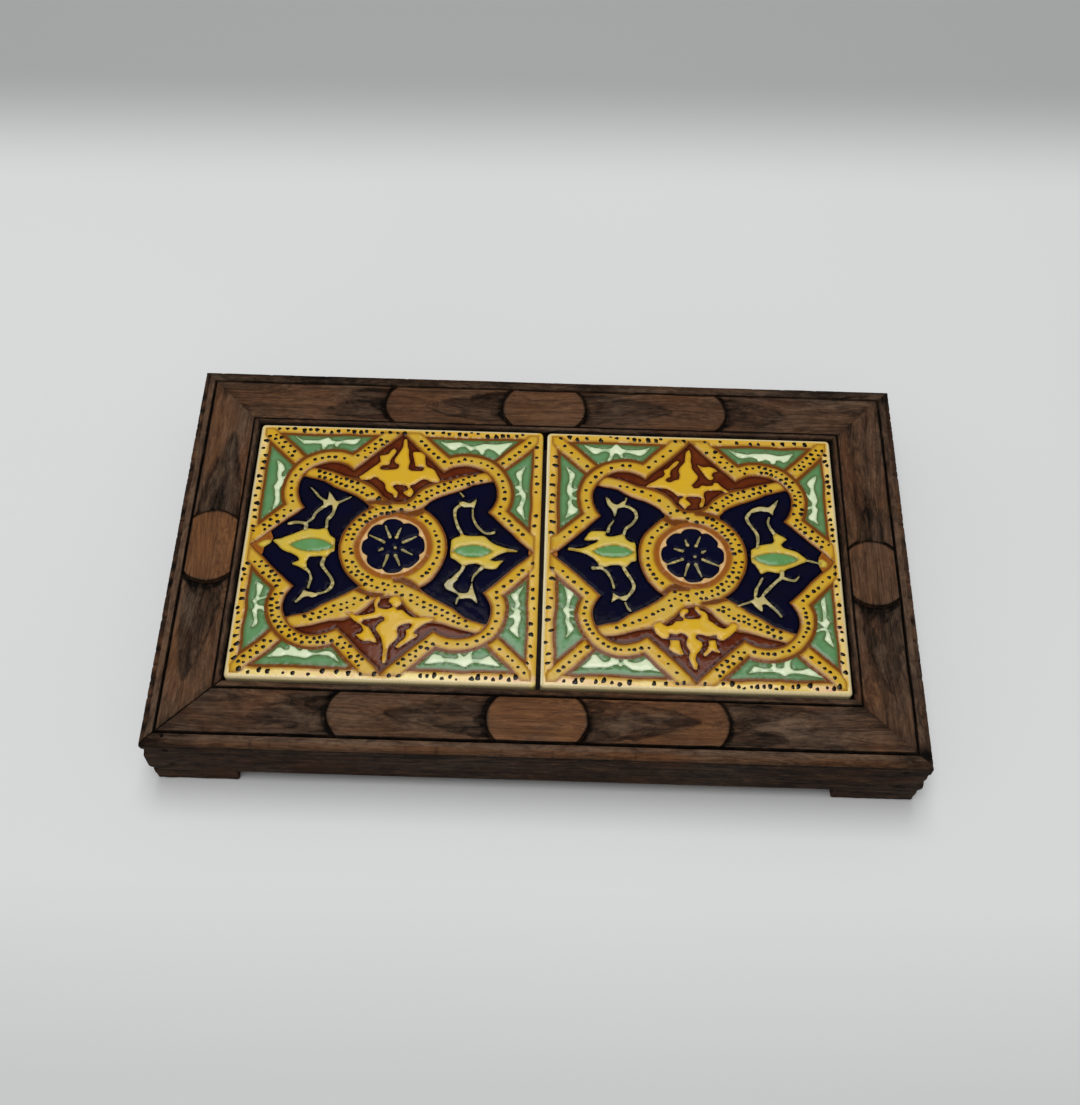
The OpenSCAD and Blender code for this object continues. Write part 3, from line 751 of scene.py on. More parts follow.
def cut_grooves(r):
    """The two V grooves wander a little and are deeper in places; they are painted dark as shade, darker
    where deeper.
    """
    grooves = (("groove_in", LIP_W + INNER_GROOVE_W / 2, INNER_GROOVE_D, 0.13),
               ("groove_out", BAND_OUT + OUTER_GROOVE_W / 2, OUTER_GROOVE_D, 0.17))
    for zone, middle, deepest, stray in grooves:
        mask = r.on(zone)
        line = np.full_like(r.x, middle)
        fall = RAIL_H - r.z0
        r.c += np.where(mask, stray * soft_noise(r.x * 0.07, line, r.seed + 1), 0)
        r.z -= np.where(mask, fall * 0.22 * soft_noise(r.x * 0.16, line, r.seed + 2), 0)
        # Painted shade in the groove, darker where it is deeper
        r.darken(0.62 + 0.5 * np.clip(fall / deepest * 1.6, 0, 1), mask)


def plane_top(r):
    """Lowers the top by the carving, by plane marks and gouge ripples, and rounds its edges."""
    ripple = 0.05 * r.noise(0.12, 0.5, 3) + 0.03 * r.noise(0.5, 1.6, 4)
    facets = 0.16 * r.noise(0.2, 0.9, 5) * smooth(r.depth / 0.4)
    ridges = (0.3 - np.abs(r.noise(0.09, 0.36, 9))) * 0.6
    low, high, _ = r.pills[0]
    hewn = r.on("band") & (r.depth < 0.05) & ((r.x < low) | (r.x > high))
    r.z -= np.where(hewn, np.maximum(ridges, 0) * 0.9, 0)
    # Steep gouge walls are painted darker, as shade
    steep = np.hypot(np.gradient(r.depth, axis=1) / 0.32, np.gradient(r.depth, axis=0) / r.step)
    r.darken(0.7 * smooth((steep - 0.7) / 1.8), r.on("band"))
    r.z = np.where(r.top, r.z - r.depth - np.maximum(0.05 + ripple, 0) - np.maximum(facets, 0), r.z)
    for edge, width in ((BAND_IN, 0.5), (BAND_OUT, 0.6), (LIP_W, 0.4), (BEAD_IN, 0.5)):
        sag = 0.16 * smooth(1 - np.abs(r.c - edge) / width)
        r.z = np.where(r.on("band", "lip", "bead"), r.z - sag, r.z)


def open_mitres(r):
    """The mitre joints open to a thin line, wider at some corners than at others."""
    for end, beside, crack in ((0, 1, r.cracks[0]), (-1, -2, r.cracks[1])):
        r.z[end] = np.where(r.top[0], r.z[end] - crack, r.z[end])
        r.soot_and_shade[end] = np.maximum(r.soot_and_shade[end], min(1.0, crack * 2.2))
        r.soot_and_shade[beside] = np.maximum(r.soot_and_shade[beside], 0.35 * crack)
    gap = r.half + r.c - np.abs(r.x)
    r.darken(0.34 * smooth(1 - gap / 5.0) * (0.8 + 0.6 * r.noise(0.3, 0.3, 12)), r.top)


def sand_face(r):
    """The outer face is sanded by hand, and a little uneven."""
    uneven = 0.05 + 0.05 * r.noise(0.05, 0.2, 6, "z") + 0.03 * r.noise(0.3, 1.2, 7, "z")
    r.c = np.where(r.on("face", "round"), r.c - np.clip(uneven, 0, 0.2), r.c)


def nick_edge(r):
    """Splinters and nicks along the bead's outer edge."""
    rng = np.random.default_rng(r.seed + 8)
    reach = r.half + RAIL_W - 1.5
    lean = np.where(r.on("face") & (r.z0 > RAIL_H - 3.8), 0.4, np.where(r.on("round"), 1.0, 0.0))
    place = -reach
    while place < reach:
        half = rng.uniform(0.35, 1.3)
        bite = rng.uniform(0.08, 0.65) * r.nicks
        shape = smooth(1 - np.abs(r.x - place) / half) * lean
        r.c -= bite * 0.55 * shape
        r.z -= bite * 0.5 * shape
        # Each nick is painted darker, as shade in it
        r.darken(np.clip(bite * 1.6, 0, 0.9) * shape)
        place += rng.uniform(1.7, 7.0) if r.nicks > 0.5 else rng.uniform(6, 22)


def rub_top(r):
    """Wear: the pills between round ends, the flat band, the bead and the lip."""
    band = r.on("band")
    for low, high, amount in r.pills:
        within = smooth((r.x - low) / 1.5) * smooth((high - r.x) / 1.5)
        r.rub(amount * within, band & (r.depth < 0.05))
    patchy = 0.6 + 0.6 * r.noise(0.05, 0.16, 10)
    r.rub(r.rubbed * np.clip(patchy, 0, 1.2), band & (r.depth < 0.12))
    r.rub(0.3 + 0.3 * r.rubbed, r.on("round"))
    r.rub(0.1 + 0.3 * r.rubbed, r.on("bead"))
    r.rub(0.3 * r.rubbed, r.on("lip"))
    # The bead's top is painted pale, as a highlight, where it is not painted dark
    r.pale = np.maximum(r.pale, 0.65 * (1 - r.soot_and_shade) * r.on("bead"))
    r.wear *= 1 - r.soot_and_shade


def darken_face(r):
    """The outer face is painted darker than the top, as shade, most of all just under the bead."""
    under = smooth((r.z - RAIL_H + 2.9) / 0.7) * smooth((RAIL_H - 1.0 - r.z) / 0.7)
    r.darken(0.4 + 0.38 * under, r.on("face"))


def darken_back(r):
    """The bead and its rounding are painted with shade: darkest along the back, and lightest on the left."""
    px, py = r.place()
    behind = (0.15 + 0.25 * smooth((px + 131) / 4)) * smooth((py + 10) / 70)
    behind = behind + 0.25 * smooth((px - 128) / 3) + 0.3 * smooth((py - 72) / 3)
    behind = behind * r.on("bead", "round") * (0.8 + 0.5 * r.noise(0.06, 0.2, 11, "z"))
    r.darken(behind)
    # The back's outer groove is painted less dark: less painted shade there
    r.soot_and_shade = r.soot_and_shade - 0.35 * smooth((py - 68) / 4) * r.on("groove_out")
    r.spoil(behind * 1.4)
    # The lower part of the rounding is painted darker, as shade where it turns under
    fall = smooth((RAIL_H - 1.2 - r.z) / 2.0) * r.on("round")
    r.darken(0.5 * fall)
    r.spoil(fall)


def soil_corners(r):
    """Years of handling left the two front corners dark, the left rail's end less so."""
    px, py = r.place()
    for corner_x, reach in ((-132.0, 22.0), (131.0, 15.0)):
        grime = 0.8 * smooth(1.15 - np.hypot(px - corner_x, py + 77.0) / reach)
        grime = grime * (0.8 + 0.5 * r.noise(0.2, 0.25, 14))
        grime = grime * (1.0 if r.long or corner_x > 0 else 0.3)
        r.darken(grime, r.on("bead", "round", "groove_out"))
        r.spoil(grime * 1.2)


def shade_side_edges(r):
    """The rounded edge is ragged and painted dark in patches, as shade, along the left side, less so along
    the right.
    """
    px = r.place()[0]
    edge_shade = 0.66 * smooth((-px - 128.5) / 3) + 0.5 * smooth((px - 128.5) / 3)
    edge_shade = edge_shade * (0.7 + 0.9 * r.noise(0.3, 0.2, 15)) * r.on("round")
    r.darken(edge_shade)
    r.spoil(edge_shade * 1.3)


def shade_lip(r):
    """Painted shade lies along the lip beside the tiles, least of all in front of them."""
    py = r.place()[1]
    darkening = (0.85 - 0.5 * smooth((-52 - py) / 2)) * smooth(1.25 - r.c / 1.3)
    darkening = darkening * r.on("lip", "arris", "inner")
    r.darken(darkening)
    r.spoil(darkening)


def mark_nails(r):
    """The two nails in the bead at the front: a hole painted dark as shade, and a head painted pale as a
    glint.
    """
    px, py = r.place()
    hole = smooth((0.85 - np.hypot(px - NAIL_HOLE[0], py - NAIL_HOLE[1])) / 0.3) * r.top
    r.darken(hole)
    r.z = r.z - 0.6 * hole
    shine = smooth((0.8 - np.hypot(px - NAIL_HEAD[0], py - NAIL_HEAD[1])) / 0.3) * r.top
    r.pale = np.maximum(r.pale, shine)


def sink_brads(r):
    """Sunk heads of the corner brads leave small holes in the long faces."""
    for bx in (-BRAD_X, BRAD_X):
        for bz in BRAD_Z:
            hole = (np.hypot(r.x - bx, r.z - bz) < RAIL_HOLE_R) & r.on("face") & r.long
            r.c = np.where(hole, RAIL_W - RAIL_HOLE_D, r.c)
            # The holes are painted near black, as shade in them
            r.soot_and_shade = np.where(hole, 0.9, r.soot_and_shade)


def chip_corners(points):
    """Splintered upright corners at the front: both rails lose the same wood there."""
    for side, seed, high, most in ((-1, 3, RAIL_H - 2, 0.7), (1, 8, RAIL_H - 6, 0.6)):
        dx = OUTER_X / 2 - side * points[..., 0]
        dy = OUTER_Y / 2 + points[..., 1]
        far = np.maximum(dx, dy)
        z = points[..., 2] - FOOT_H
        bite = np.clip(soft_noise(z * 0.34 + 3, far * 0.2, seed) * 1.3 + 0.35, 0, 1)
        bite *= smooth((high - z) / 2) * smooth((z + 1) / 1.5)
        shift = most * bite * smooth(1 - far / 4.0) * (far < 4)
        points[..., 0] -= side * shift
        points[..., 1] += shift
    return points


def make_rail(name, side, wood):
    """One carved rail: a tube of four-sided faces between two mitred ends."""
    r = Rail(side)
    for work in (carve_hollows, cut_grooves, plane_top, open_mitres, sand_face, nick_edge, rub_top,
                 darken_face, darken_back, soil_corners, shade_side_edges, shade_lip, mark_nails, sink_brads):
        work(r)
    points = chip_corners(np.stack([*r.place(), r.z + FOOT_H], axis=-1))
    index = np.arange(r.x.size).reshape(r.x.shape)
    a = index[:-1, :]
    b = index[1:, :]
    quads = np.stack([a, b, np.roll(b, -1, axis=1), np.roll(a, -1, axis=1)], axis=-1)
    faces = quads.reshape(-1, 4).tolist()
    faces.append(index[0, :].tolist())
    faces.append(index[-1, ::-1].tolist())
    piece = new_piece(name, points.reshape(-1, 3), faces, [wood], sharp=28)
    grain = np.stack([r.x, r.c, r.z], axis=-1).reshape(-1, 3) + np.array([137.0, 31.0, 17.0]) * r.seed
    dress_wood(piece, grain, np.clip(r.soot_and_shade, 0, 1), np.clip(r.wear, 0, 1), np.clip(r.pale, 0, 1))
    return piece


def make_rails(wood):
    for side in RAILS:
        node = side + "_rail"
        piece = make_rail("carved_" + node, side, wood)
        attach(piece, "root")
        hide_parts(node)


# Feet

def lattice(low, high, spots, step):
    """Lines along one side of a block, closer at its ends and round the given spots."""
    lines = {low, high}
    for d in (0.12, 0.3, 0.6, 0.9):
        lines |= {low + d, high - d}
    for spot in spots:
        lines |= {spot + d for d in FOOT_HOLE_LINES}
    lines = sorted(lines)
    full = [lines[0]]
    for a, b in zip(lines, lines[1:]):
        count = max(1, int(math.ceil((b - a) / step)))
        full += [a + (b - a) * k / count for k in range(1, count + 1)]
    return full


def block_skin(lines):
    """The outer faces of a block cut along the given lines on its three axes."""
    index, points, faces = {}, [], []

    def corner(place):
        if place not in index:
            index[place] = len(points)
            points.append([line[k] for line, k in zip(lines, place)])
        return index[place]

    for axis in range(3):
        u, v = (axis + 1) % 3, (axis + 2) % 3
        for end in (0, len(lines[axis]) - 1):
            turn = ((0, 0), (1, 0), (1, 1), (0, 1)) if end else ((0, 0), (0, 1), (1, 1), (1, 0))
            for i in range(len(lines[u]) - 1):
                for j in range(len(lines[v]) - 1):
                    places = [{axis: end, u: i + du, v: j + dv} for du, dv in turn]
                    faces.append([corner((place[0], place[1], place[2])) for place in places])
    return np.array(points), faces


def make_foot(name, side_x, side_y, seed, wood):
    """A sawn block with worn bottom edges and the sunk heads of two brads underneath."""
    x_out = OUTER_X / 2 - FOOT_SIDE_INSET
    low = np.array([x_out - FOOT_L, OUTER_Y / 2 - RAIL_W, 0])
    high = np.array([x_out, OUTER_Y / 2 - FOOT_FACE_INSET, FOOT_H])
    brad_y = OUTER_Y / 2 - RAIL_W / 3
    brad_xs = [x_out - d for d in FOOT_BRADS]
    p, faces = block_skin([lattice(low[0], high[0], brad_xs, 1.2), lattice(low[1], high[1], [brad_y], 1.2),
                           lattice(low[2], high[2], [], 0.8)])
    radius = np.where(p[:, 2] < FOOT_H / 2, 0.75, 0.12)[:, None]
    core = np.clip(p, low + radius, high - radius)
    away = p - core
    far = np.linalg.norm(away, axis=1, keepdims=True)
    rounded = core + away / np.maximum(far, 1e-9) * np.minimum(far, radius)
    on_skin = np.abs(away) > 1e-6
    edges = on_skin.sum(axis=1) > 1
    p = np.where(edges[:, None], rounded, p)
    dent = 0.07 + 0.07 * soft_noise(p[:, 0] * 0.35, p[:, 1] * 0.35 + p[:, 2] * 0.6, seed)
    saw = 0.04 * soft_noise(p[:, 0] * 2.2, p[:, 2] * 0.3, seed + 1)
    inward = np.sign((low + high) / 2 - p) * on_skin
    p += inward * np.clip(dent + saw, 0, 0.3)[:, None] * np.array([1, 1, 0.25])
    for brad_x in brad_xs:
        hole = (np.hypot(p[:, 0] - brad_x, p[:, 1] - brad_y) < FOOT_HOLE_R) & (p[:, 2] < 0.3)
        p[hole, 2] = FOOT_HOLE_D
    # The feet are painted darker, as shade under the frame, most of all by the floor
    soot_and_shade = 0.34 + 0.3 * smooth(1 - p[:, 2] / 1.5)
    p[:, 0] *= side_x
    p[:, 1] *= side_y
    if side_x * side_y < 0:
        faces = [face[::-1] for face in faces]
    piece = new_piece("worn_" + name, p, faces, [wood], sharp=30)
    dress_wood(piece, p + seed * 41.0, soot_and_shade, 0.2 * edges, np.zeros(len(p)))
    return piece


def make_feet(wood):
    """The four feet. Each foot's number seeds its dents and moves its grain."""
    for name, side_x, side_y, seed in (("foot_front_left", -1, -1, 21), ("foot_front_right", 1, -1, 22),
                                       ("foot_back_left", -1, 1, 23), ("foot_back_right", 1, 1, 24)):
        piece = make_foot(name, side_x, side_y, seed, wood)
        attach(piece, "root")
        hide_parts(name)


# Outlines of the glaze pattern, in millimetres from a tile's middle

LOBE_C = 25.1
LOBE_OUT = 17.0
LOBE_IN = 12.5
STAR_OUT = 58.6
STAR_IN = 51.7
RING_OUT = 19.0
RING_IN = 13.9
LINE_W = 1.25
RIM_REACH = 1.3
GROUND = 50.3
PANEL_TOP = 49.4
STRAP_W = 4.8
FACE_HALF = TILE / 2 - TILE_EDGE_R
STRAP_LIMIT = 52.2
STAR_LIMIT = 51.9
SAND_R = 12.1
RING_DOTS_R = 16.5
BAND_UPPER = [(32.4, 34.3), (25.0, 32.6), (20.0, 30.8), (15.0, 29.4), (10.6, 27.2), (7.6, 24.6),
              (5.6, 21.8), (3.2, 20.0), (0, 19.3)]
BAND_LOWER = [
    [(34.8, 31.1), (27.9, 29.2), (23.6, 26.9), (18.2, 24.8), (14.6, 23.0), (12, 21.2), (10.2, 19.2)],
    [(34.8, 31.1), (27.9, 28.4), (23.6, 24.8), (18.6, 21.8), (14, 18.7), (11.6, 17), (10.2, 15.8)]]

FIGURES = {
    "left": [
        [(0.4, 48.5), (1.4, 48.6), (2, 45.6), (2.6, 44), (2.9, 40.8), (3.5, 38.6), (3.2, 36.8),
         (3.2, 35.3), (4.4, 34.6), (8.2, 34.7), (9, 35.6), (8.4, 36.5), (5.8, 36.6), (5.5, 38),
         (5, 40.4), (4.4, 42.3), (5, 43.1), (7.8, 42.8), (9.2, 41.5), (9.4, 39.5), (9.7, 37.6),
         (10.2, 36.6), (12, 36), (13.5, 34.9), (14.5, 32.8), (15.4, 31), (14.8, 29.9), (11.8, 30.1),
         (11, 30.7), (9.6, 31.1), (8, 30.3), (6.6, 29), (4.9, 28.4), (4.6, 27.4), (5.6, 26.4), (5.9, 25),
         (5.1, 23.5), (4.4, 22.8), (3.3, 23.6), (1.9, 24.7), (2.3, 25.5), (3.7, 26.1), (3.5, 27.4),
         (2.4, 28.1), (-1, 28.3), (-2, 27.9), (-2, 26.9), (-1, 25.8), (-0.2, 24.6), (-0.5, 22.7),
         (-1.4, 22.6), (-2.2, 24.1), (-3.8, 25), (-4.8, 26.5), (-5.1, 28.2), (-6, 29.3), (-7.5, 30.3),
         (-8.3, 31.2), (-9.6, 31.3), (-10.6, 30.4), (-13.8, 30.1), (-14.8, 31.4), (-12.5, 33.3),
         (-9.8, 36), (-7.6, 38.2), (-7.6, 40.8), (-6, 41.3), (-4.6, 42), (-3.7, 43.7), (-2.9, 44.2),
         (-2.2, 43.6), (-2.3, 42.3), (-3.2, 40.6), (-3.9, 39), (-4, 37.4), (-4.8, 36.8), (-6.8, 36.5),
         (-7.6, 35.6), (-7.2, 34.8), (-5, 34.6), (-1.4, 34.9), (-0.5, 35.8), (-0.6, 36.9), (-1.7, 37.6),
         (-2.4, 38.8), (-2, 40.5), (-0.7, 43.2), (0.2, 45.5)],
        [(-4.2, -20.5), (-3, -20), (-2.5, -21.2), (-3.4, -23), (-3, -24.6), (-1.5, -25.2), (0.6, -25.2),
         (2.2, -24.2), (1.6, -23), (0.5, -22), (1.2, -20.5), (2.8, -19.6), (4.4, -20.2), (5.2, -22),
         (4.6, -23.6), (3.2, -24.6), (4, -25.4), (5.4, -25.2), (6.8, -26.4), (8.6, -27.8), (11, -28.4),
         (14, -28.2), (16.4, -28.4), (16.9, -29.2), (15.4, -30.2), (13.4, -31.3), (12, -32.6),
         (10.4, -34.6), (10.2, -35.6), (11.5, -36), (11, -37), (9, -38.6), (7, -40.2), (5, -41.7),
         (4.3, -41.1), (5.4, -39.6), (7, -37.8), (7.6, -35.8), (7.4, -34.4), (8.8, -33.2), (9.4, -31.9),
         (8.4, -31.1), (6.6, -31.4), (4.6, -32.8), (4.3, -34.6), (4.7, -37), (4, -38.6), (2.2, -40.8),
         (1.7, -43), (1.6, -45.4), (1.2, -47.6), (0.2, -47.6), (0.1, -45), (0.3, -42.4), (-0.4, -39.6),
         (-1.2, -37.2), (-3, -34.6), (-3, -33.2), (-1.6, -31.3), (-0.4, -30.3), (-0.5, -29),
         (-1.8, -28.5), (-3.4, -29.3), (-5.5, -29.8), (-7.8, -30.2), (-8.6, -31.4), (-7.4, -32.5),
         (-5.6, -33.4), (-4.4, -35.4), (-2.8, -38), (-2.3, -39.6), (-3.6, -39.4), (-5.2, -38.9),
         (-6.6, -39), (-8.2, -38.2), (-9.8, -36.6), (-8.2, -36), (-7.4, -34.6), (-8.2, -32.8),
         (-9.8, -31.5), (-11.4, -30.5), (-13, -28.8), (-14.2, -27.4), (-12.8, -27.2), (-11, -28.3),
         (-9, -28.3), (-6, -27.6), (-4.4, -26.8), (-4.3, -25), (-4.8, -23)]],
    "right": [
        [(-1.7, 46.8), (-0.5, 48), (0.2, 46), (0, 43), (0.3, 41), (0.5, 39.6), (1.7, 37.8), (2.7, 36.2),
         (2.5, 34.8), (1.2, 33), (0.4, 32), (1.2, 31), (2.8, 31.1), (4, 32.2), (6, 32.2), (7.8, 32.4),
         (8.6, 33.7), (10, 33.4), (11.4, 31.9), (13, 30.6), (14, 29.6), (13, 29.2), (11.4, 30.2),
         (8.5, 30.3), (6, 30), (4.8, 29.2), (4.6, 27.6), (5, 26.2), (4.7, 24.4), (4.2, 22.7),
         (3.2, 22.2), (2.8, 23.4), (3.6, 25.2), (3.6, 26.7), (2.6, 27.3), (-0.6, 27.4), (-1.9, 26.9),
         (-2.2, 25.8), (-1.2, 24.9), (-0.3, 23.6), (-1.6, 22.6), (-2.6, 21.3), (-3.8, 22.8),
         (-4.9, 24.2), (-4.5, 25.6), (-3.2, 26.7), (-3.6, 27.4), (-5.4, 27.2), (-6.4, 28.2),
         (-8.4, 29.8), (-11, 30.4), (-14, 30.5), (-16.8, 30.8), (-16, 31.9), (-14, 32.9), (-12, 34.3),
         (-10.2, 35.5), (-9.6, 36.8), (-10, 38.4), (-8.4, 39.5), (-6.6, 41.9), (-5, 43.1), (-4.3, 42.6),
         (-5.2, 41.1), (-7.2, 38.8), (-7.6, 37), (-7.4, 35.7), (-8.9, 34.7), (-9.1, 33.6), (-7.6, 33.1),
         (-5.6, 34.1), (-4.3, 34.6), (-4, 36.6), (-4.4, 38.4), (-4, 40), (-3.2, 41.2), (-2.2, 42.6),
         (-2, 44.6)],
        [(2.6, 41.3), (3.6, 40.9), (5, 40.4), (7.4, 40.6), (9.4, 39.8), (10.2, 38.8), (8.5, 38.2),
         (7.8, 36.8), (8.4, 35.9), (7.6, 35), (6.4, 35.2), (5.2, 36.8), (4.2, 38.4)],
        [(-5.4, -22.4), (-4.4, -21.2), (-2.6, -21.4), (-2.3, -22.6), (-3.7, -24), (-3.4, -25.4),
         (-1.6, -25.8), (1.4, -25.4), (2, -24.2), (1, -22.6), (0.1, -21), (0.6, -20.1), (1.4, -20.6),
         (2, -21.6), (3.6, -22.4), (4.4, -23.8), (4.6, -25.8), (6, -26.8), (7.8, -28.4), (9.8, -29.3),
         (11.4, -28.5), (12.4, -27), (14.2, -26.9), (15.1, -27.8), (14.4, -29.6), (13, -31.2),
         (11, -33.2), (9.2, -34.6), (8, -34.2), (7.4, -33.8), (7, -32.4), (4.5, -33), (2, -32.3),
         (0.3, -32.5), (0, -33.8), (0.8, -34.8), (2, -35.6), (2.2, -37.2), (1.4, -38.8), (0.2, -40.4),
         (-0.2, -42.4), (0.4, -44.2), (0, -46.4), (-0.9, -46.2), (-2.2, -43.4), (-2.6, -41.4),
         (-2.1, -39.4), (-3.2, -37.6), (-3.3, -35.6), (-2.8, -33.6), (-3.8, -32.3), (-5.2, -31.8),
         (-7, -32.3), (-9, -32.1), (-9.7, -33.6), (-10.3, -34.4), (-11.8, -34.5), (-13.7, -33),
         (-14.7, -31.2), (-15.2, -28.8), (-14.2, -28), (-12.4, -27.3), (-11.6, -28.4), (-10, -29.1),
         (-8, -28.5), (-6.6, -26.8), (-4.4, -26.6), (-4.2, -25.4), (-5.4, -24.2)],
        [(-9.1, -34.9), (-6.2, -34.8), (-5.8, -36.8), (-5, -39.6), (-4.5, -40.7), (-6.6, -41),
         (-8.4, -39.9), (-9.7, -38.4), (-9.2, -36.6)],
        [(4.4, -35), (6.6, -34.8), (7, -36.4), (7.2, -38.2), (8.3, -39.4), (7.4, -39.8), (5.6, -38.9),
         (4.4, -39.9), (3, -41.1), (2.5, -40.2), (3.8, -38.4), (4.5, -36.6)]]}

EYES = {
    "left": [
        [(-43.6, 2.4), (-41, 3.2), (-38, 4.6), (-34.5, 6.4), (-32.8, 7.3), (-31.4, 7.8), (-28, 7.5),
         (-25.8, 8), (-24.9, 8.8), (-23.9, 7), (-22.9, 5.2), (-21.2, 4), (-20.9, 2), (-20.8, -1),
         (-21.8, -1.6), (-23.3, -3.6), (-24.1, -4.7), (-25.3, -3.6), (-27.5, -4), (-29.4, -4.2),
         (-30.4, -6), (-30.1, -8.2), (-30.3, -9.8), (-32.5, -8.6), (-35.6, -7.2), (-35.2, -6.4),
         (-33.4, -5.6), (-33.9, -4.2), (-36, -3), (-39.5, -1.6), (-42, 0.8)],
        [(21.2, 4.6), (22.4, 5.8), (24.1, 6.8), (24.6, 8.5), (26, 7.3), (28, 7), (31, 7), (33.5, 6.5),
         (35, 5), (37.5, 3.4), (40, 2.4), (42, 1.9), (45, 1.2), (45, 0.6), (41.5, 0.5), (39.3, -0.4),
         (37.3, -2), (36, -3.2), (37.5, -3.6), (40.4, -3.4), (39.4, -5.2), (38.3, -6.7), (36.4, -7.1),
         (33.6, -6.6), (32.6, -5.6), (30.5, -4.8), (28, -5.2), (26.7, -6), (26.1, -7), (25.2, -5.6),
         (23.4, -3.8), (21.6, -2.6), (21.1, 0)]],
    "right": [
        [(-20.9, 5.6), (-22.6, 5.9), (-24.5, 7.4), (-25.3, 9.9), (-26.5, 9.2), (-28.5, 8.6), (-31, 8.3),
         (-32.4, 9), (-32, 10.3), (-34, 10.6), (-37.5, 10.4), (-39, 9), (-40.2, 6.8), (-38.3, 6.5),
         (-35.5, 6.9), (-36, 5.7), (-38.3, 4.4), (-40.2, 3.2), (-42, 2.7), (-45.6, 3), (-45.7, 2),
         (-42.5, 1.3), (-39.3, 0.4), (-36.6, -1.2), (-35, -3.2), (-34.5, -4.4), (-32.5, -4.6), (-30, -4),
         (-27, -3.9), (-25.5, -5), (-24.4, -4.3), (-22.6, -2.2), (-20.9, -1.6), (-20.8, 2)],
        [(21, 4), (22, 5.2), (23.4, 6.2), (25.5, 6.6), (29, 7.2), (30, 8.6), (29.6, 10.6), (29.9, 12.5),
         (31.5, 11.5), (34.6, 9.6), (33.4, 8.4), (32.6, 7), (33.4, 5.9), (35.5, 5), (38, 4), (40, 2.2),
         (41.8, 0.4), (40.2, -0.6), (36.5, -2.2), (33.5, -3.4), (32, -5), (30, -5.2), (27, -4.8),
         (24.4, -5.9), (23.3, -4.2), (22.3, -2.2), (21, -1)]]}

# Solid parts of the stems on the blue fields
BUDS = {
    "left": [
        [(-32.7, 25.7), (-31.6, 25.3), (-28, 22), (-25.8, 21), (-25.4, 24.2), (-24.3, 23), (-22.4, 20.3),
         (-19.5, 21.3), (-17.2, 22.6), (-17, 22), (-19.5, 20.5), (-21.5, 19), (-22.2, 17), (-23.2, 16.5),
         (-23.9, 18.5), (-25, 18.5), (-26.1, 17.3), (-26.9, 18.8), (-27.3, 20.4), (-30, 22.6)],
        [(-30.3, -18.2), (-29, -18.6), (-26.5, -18.9), (-25.3, -20.1), (-27, -21), (-28.6, -20.6),
         (-30.5, -21.7), (-32.3, -24.3), (-33.1, -24), (-31.5, -21)],
        [(23.2, 20.9), (24.6, 21.7), (27.4, 21.1), (29.4, 22.8), (29.3, 20.8), (28.8, 18.9),
         (27.6, 19.5), (25, 19.3)],
        [(21.8, -11.8), (20.4, -12.8), (19.5, -14.4), (20.4, -16), (22.4, -16.9), (24.5, -17.9),
         (25.5, -19.7), (27.5, -19.3), (29.5, -19.4), (31.2, -20.9), (31.9, -21.4), (31.7, -19.5),
         (30.7, -17), (30, -15), (29.6, -12.8), (28.9, -14.4), (28.3, -16.6), (27, -17.2), (24.6, -17),
         (22.9, -15.4), (22.8, -13.6), (24.4, -11.6)]],
    "right": [
        [(-32.1, 25.2), (-31, 24.7), (-29.4, 22.6), (-27.5, 22.2), (-25.6, 23.7), (-24.5, 23.5),
         (-24.6, 22.1), (-22.5, 21.3), (-22.8, 20.5), (-25.2, 21), (-27.4, 20.5), (-28.2, 18),
         (-28.9, 17.1), (-29.6, 19.6), (-31.4, 22)],
        [(-29.4, -15.5), (-27, -16.7), (-25, -16.1), (-23.4, -15.5), (-24.4, -18.1), (-26, -18.3),
         (-27.6, -17.7), (-30, -19.6), (-29.7, -18)],
        [(20.8, 20.2), (22.5, 22.3), (25, 23.3), (28.5, 23.1), (30.6, 25.1), (32.3, 26.6), (31.4, 24),
         (30.3, 21.6), (29.8, 19.7), (28.3, 20.9), (25.4, 21.2), (22.6, 20.5)],
        [(21.2, -14.6), (21, -16.4), (18.6, -17.6), (15.2, -19), (14.8, -19.9), (18, -18.7),
         (20.4, -17.9), (22, -19.5), (23.9, -21.4), (24.3, -20), (24.1, -18.7), (25.5, -18.3),
         (28, -20.5), (30.5, -23.7), (31, -22.9), (28.6, -19.6), (25.7, -16.4), (24.6, -14.9),
         (22.6, -16)]]}

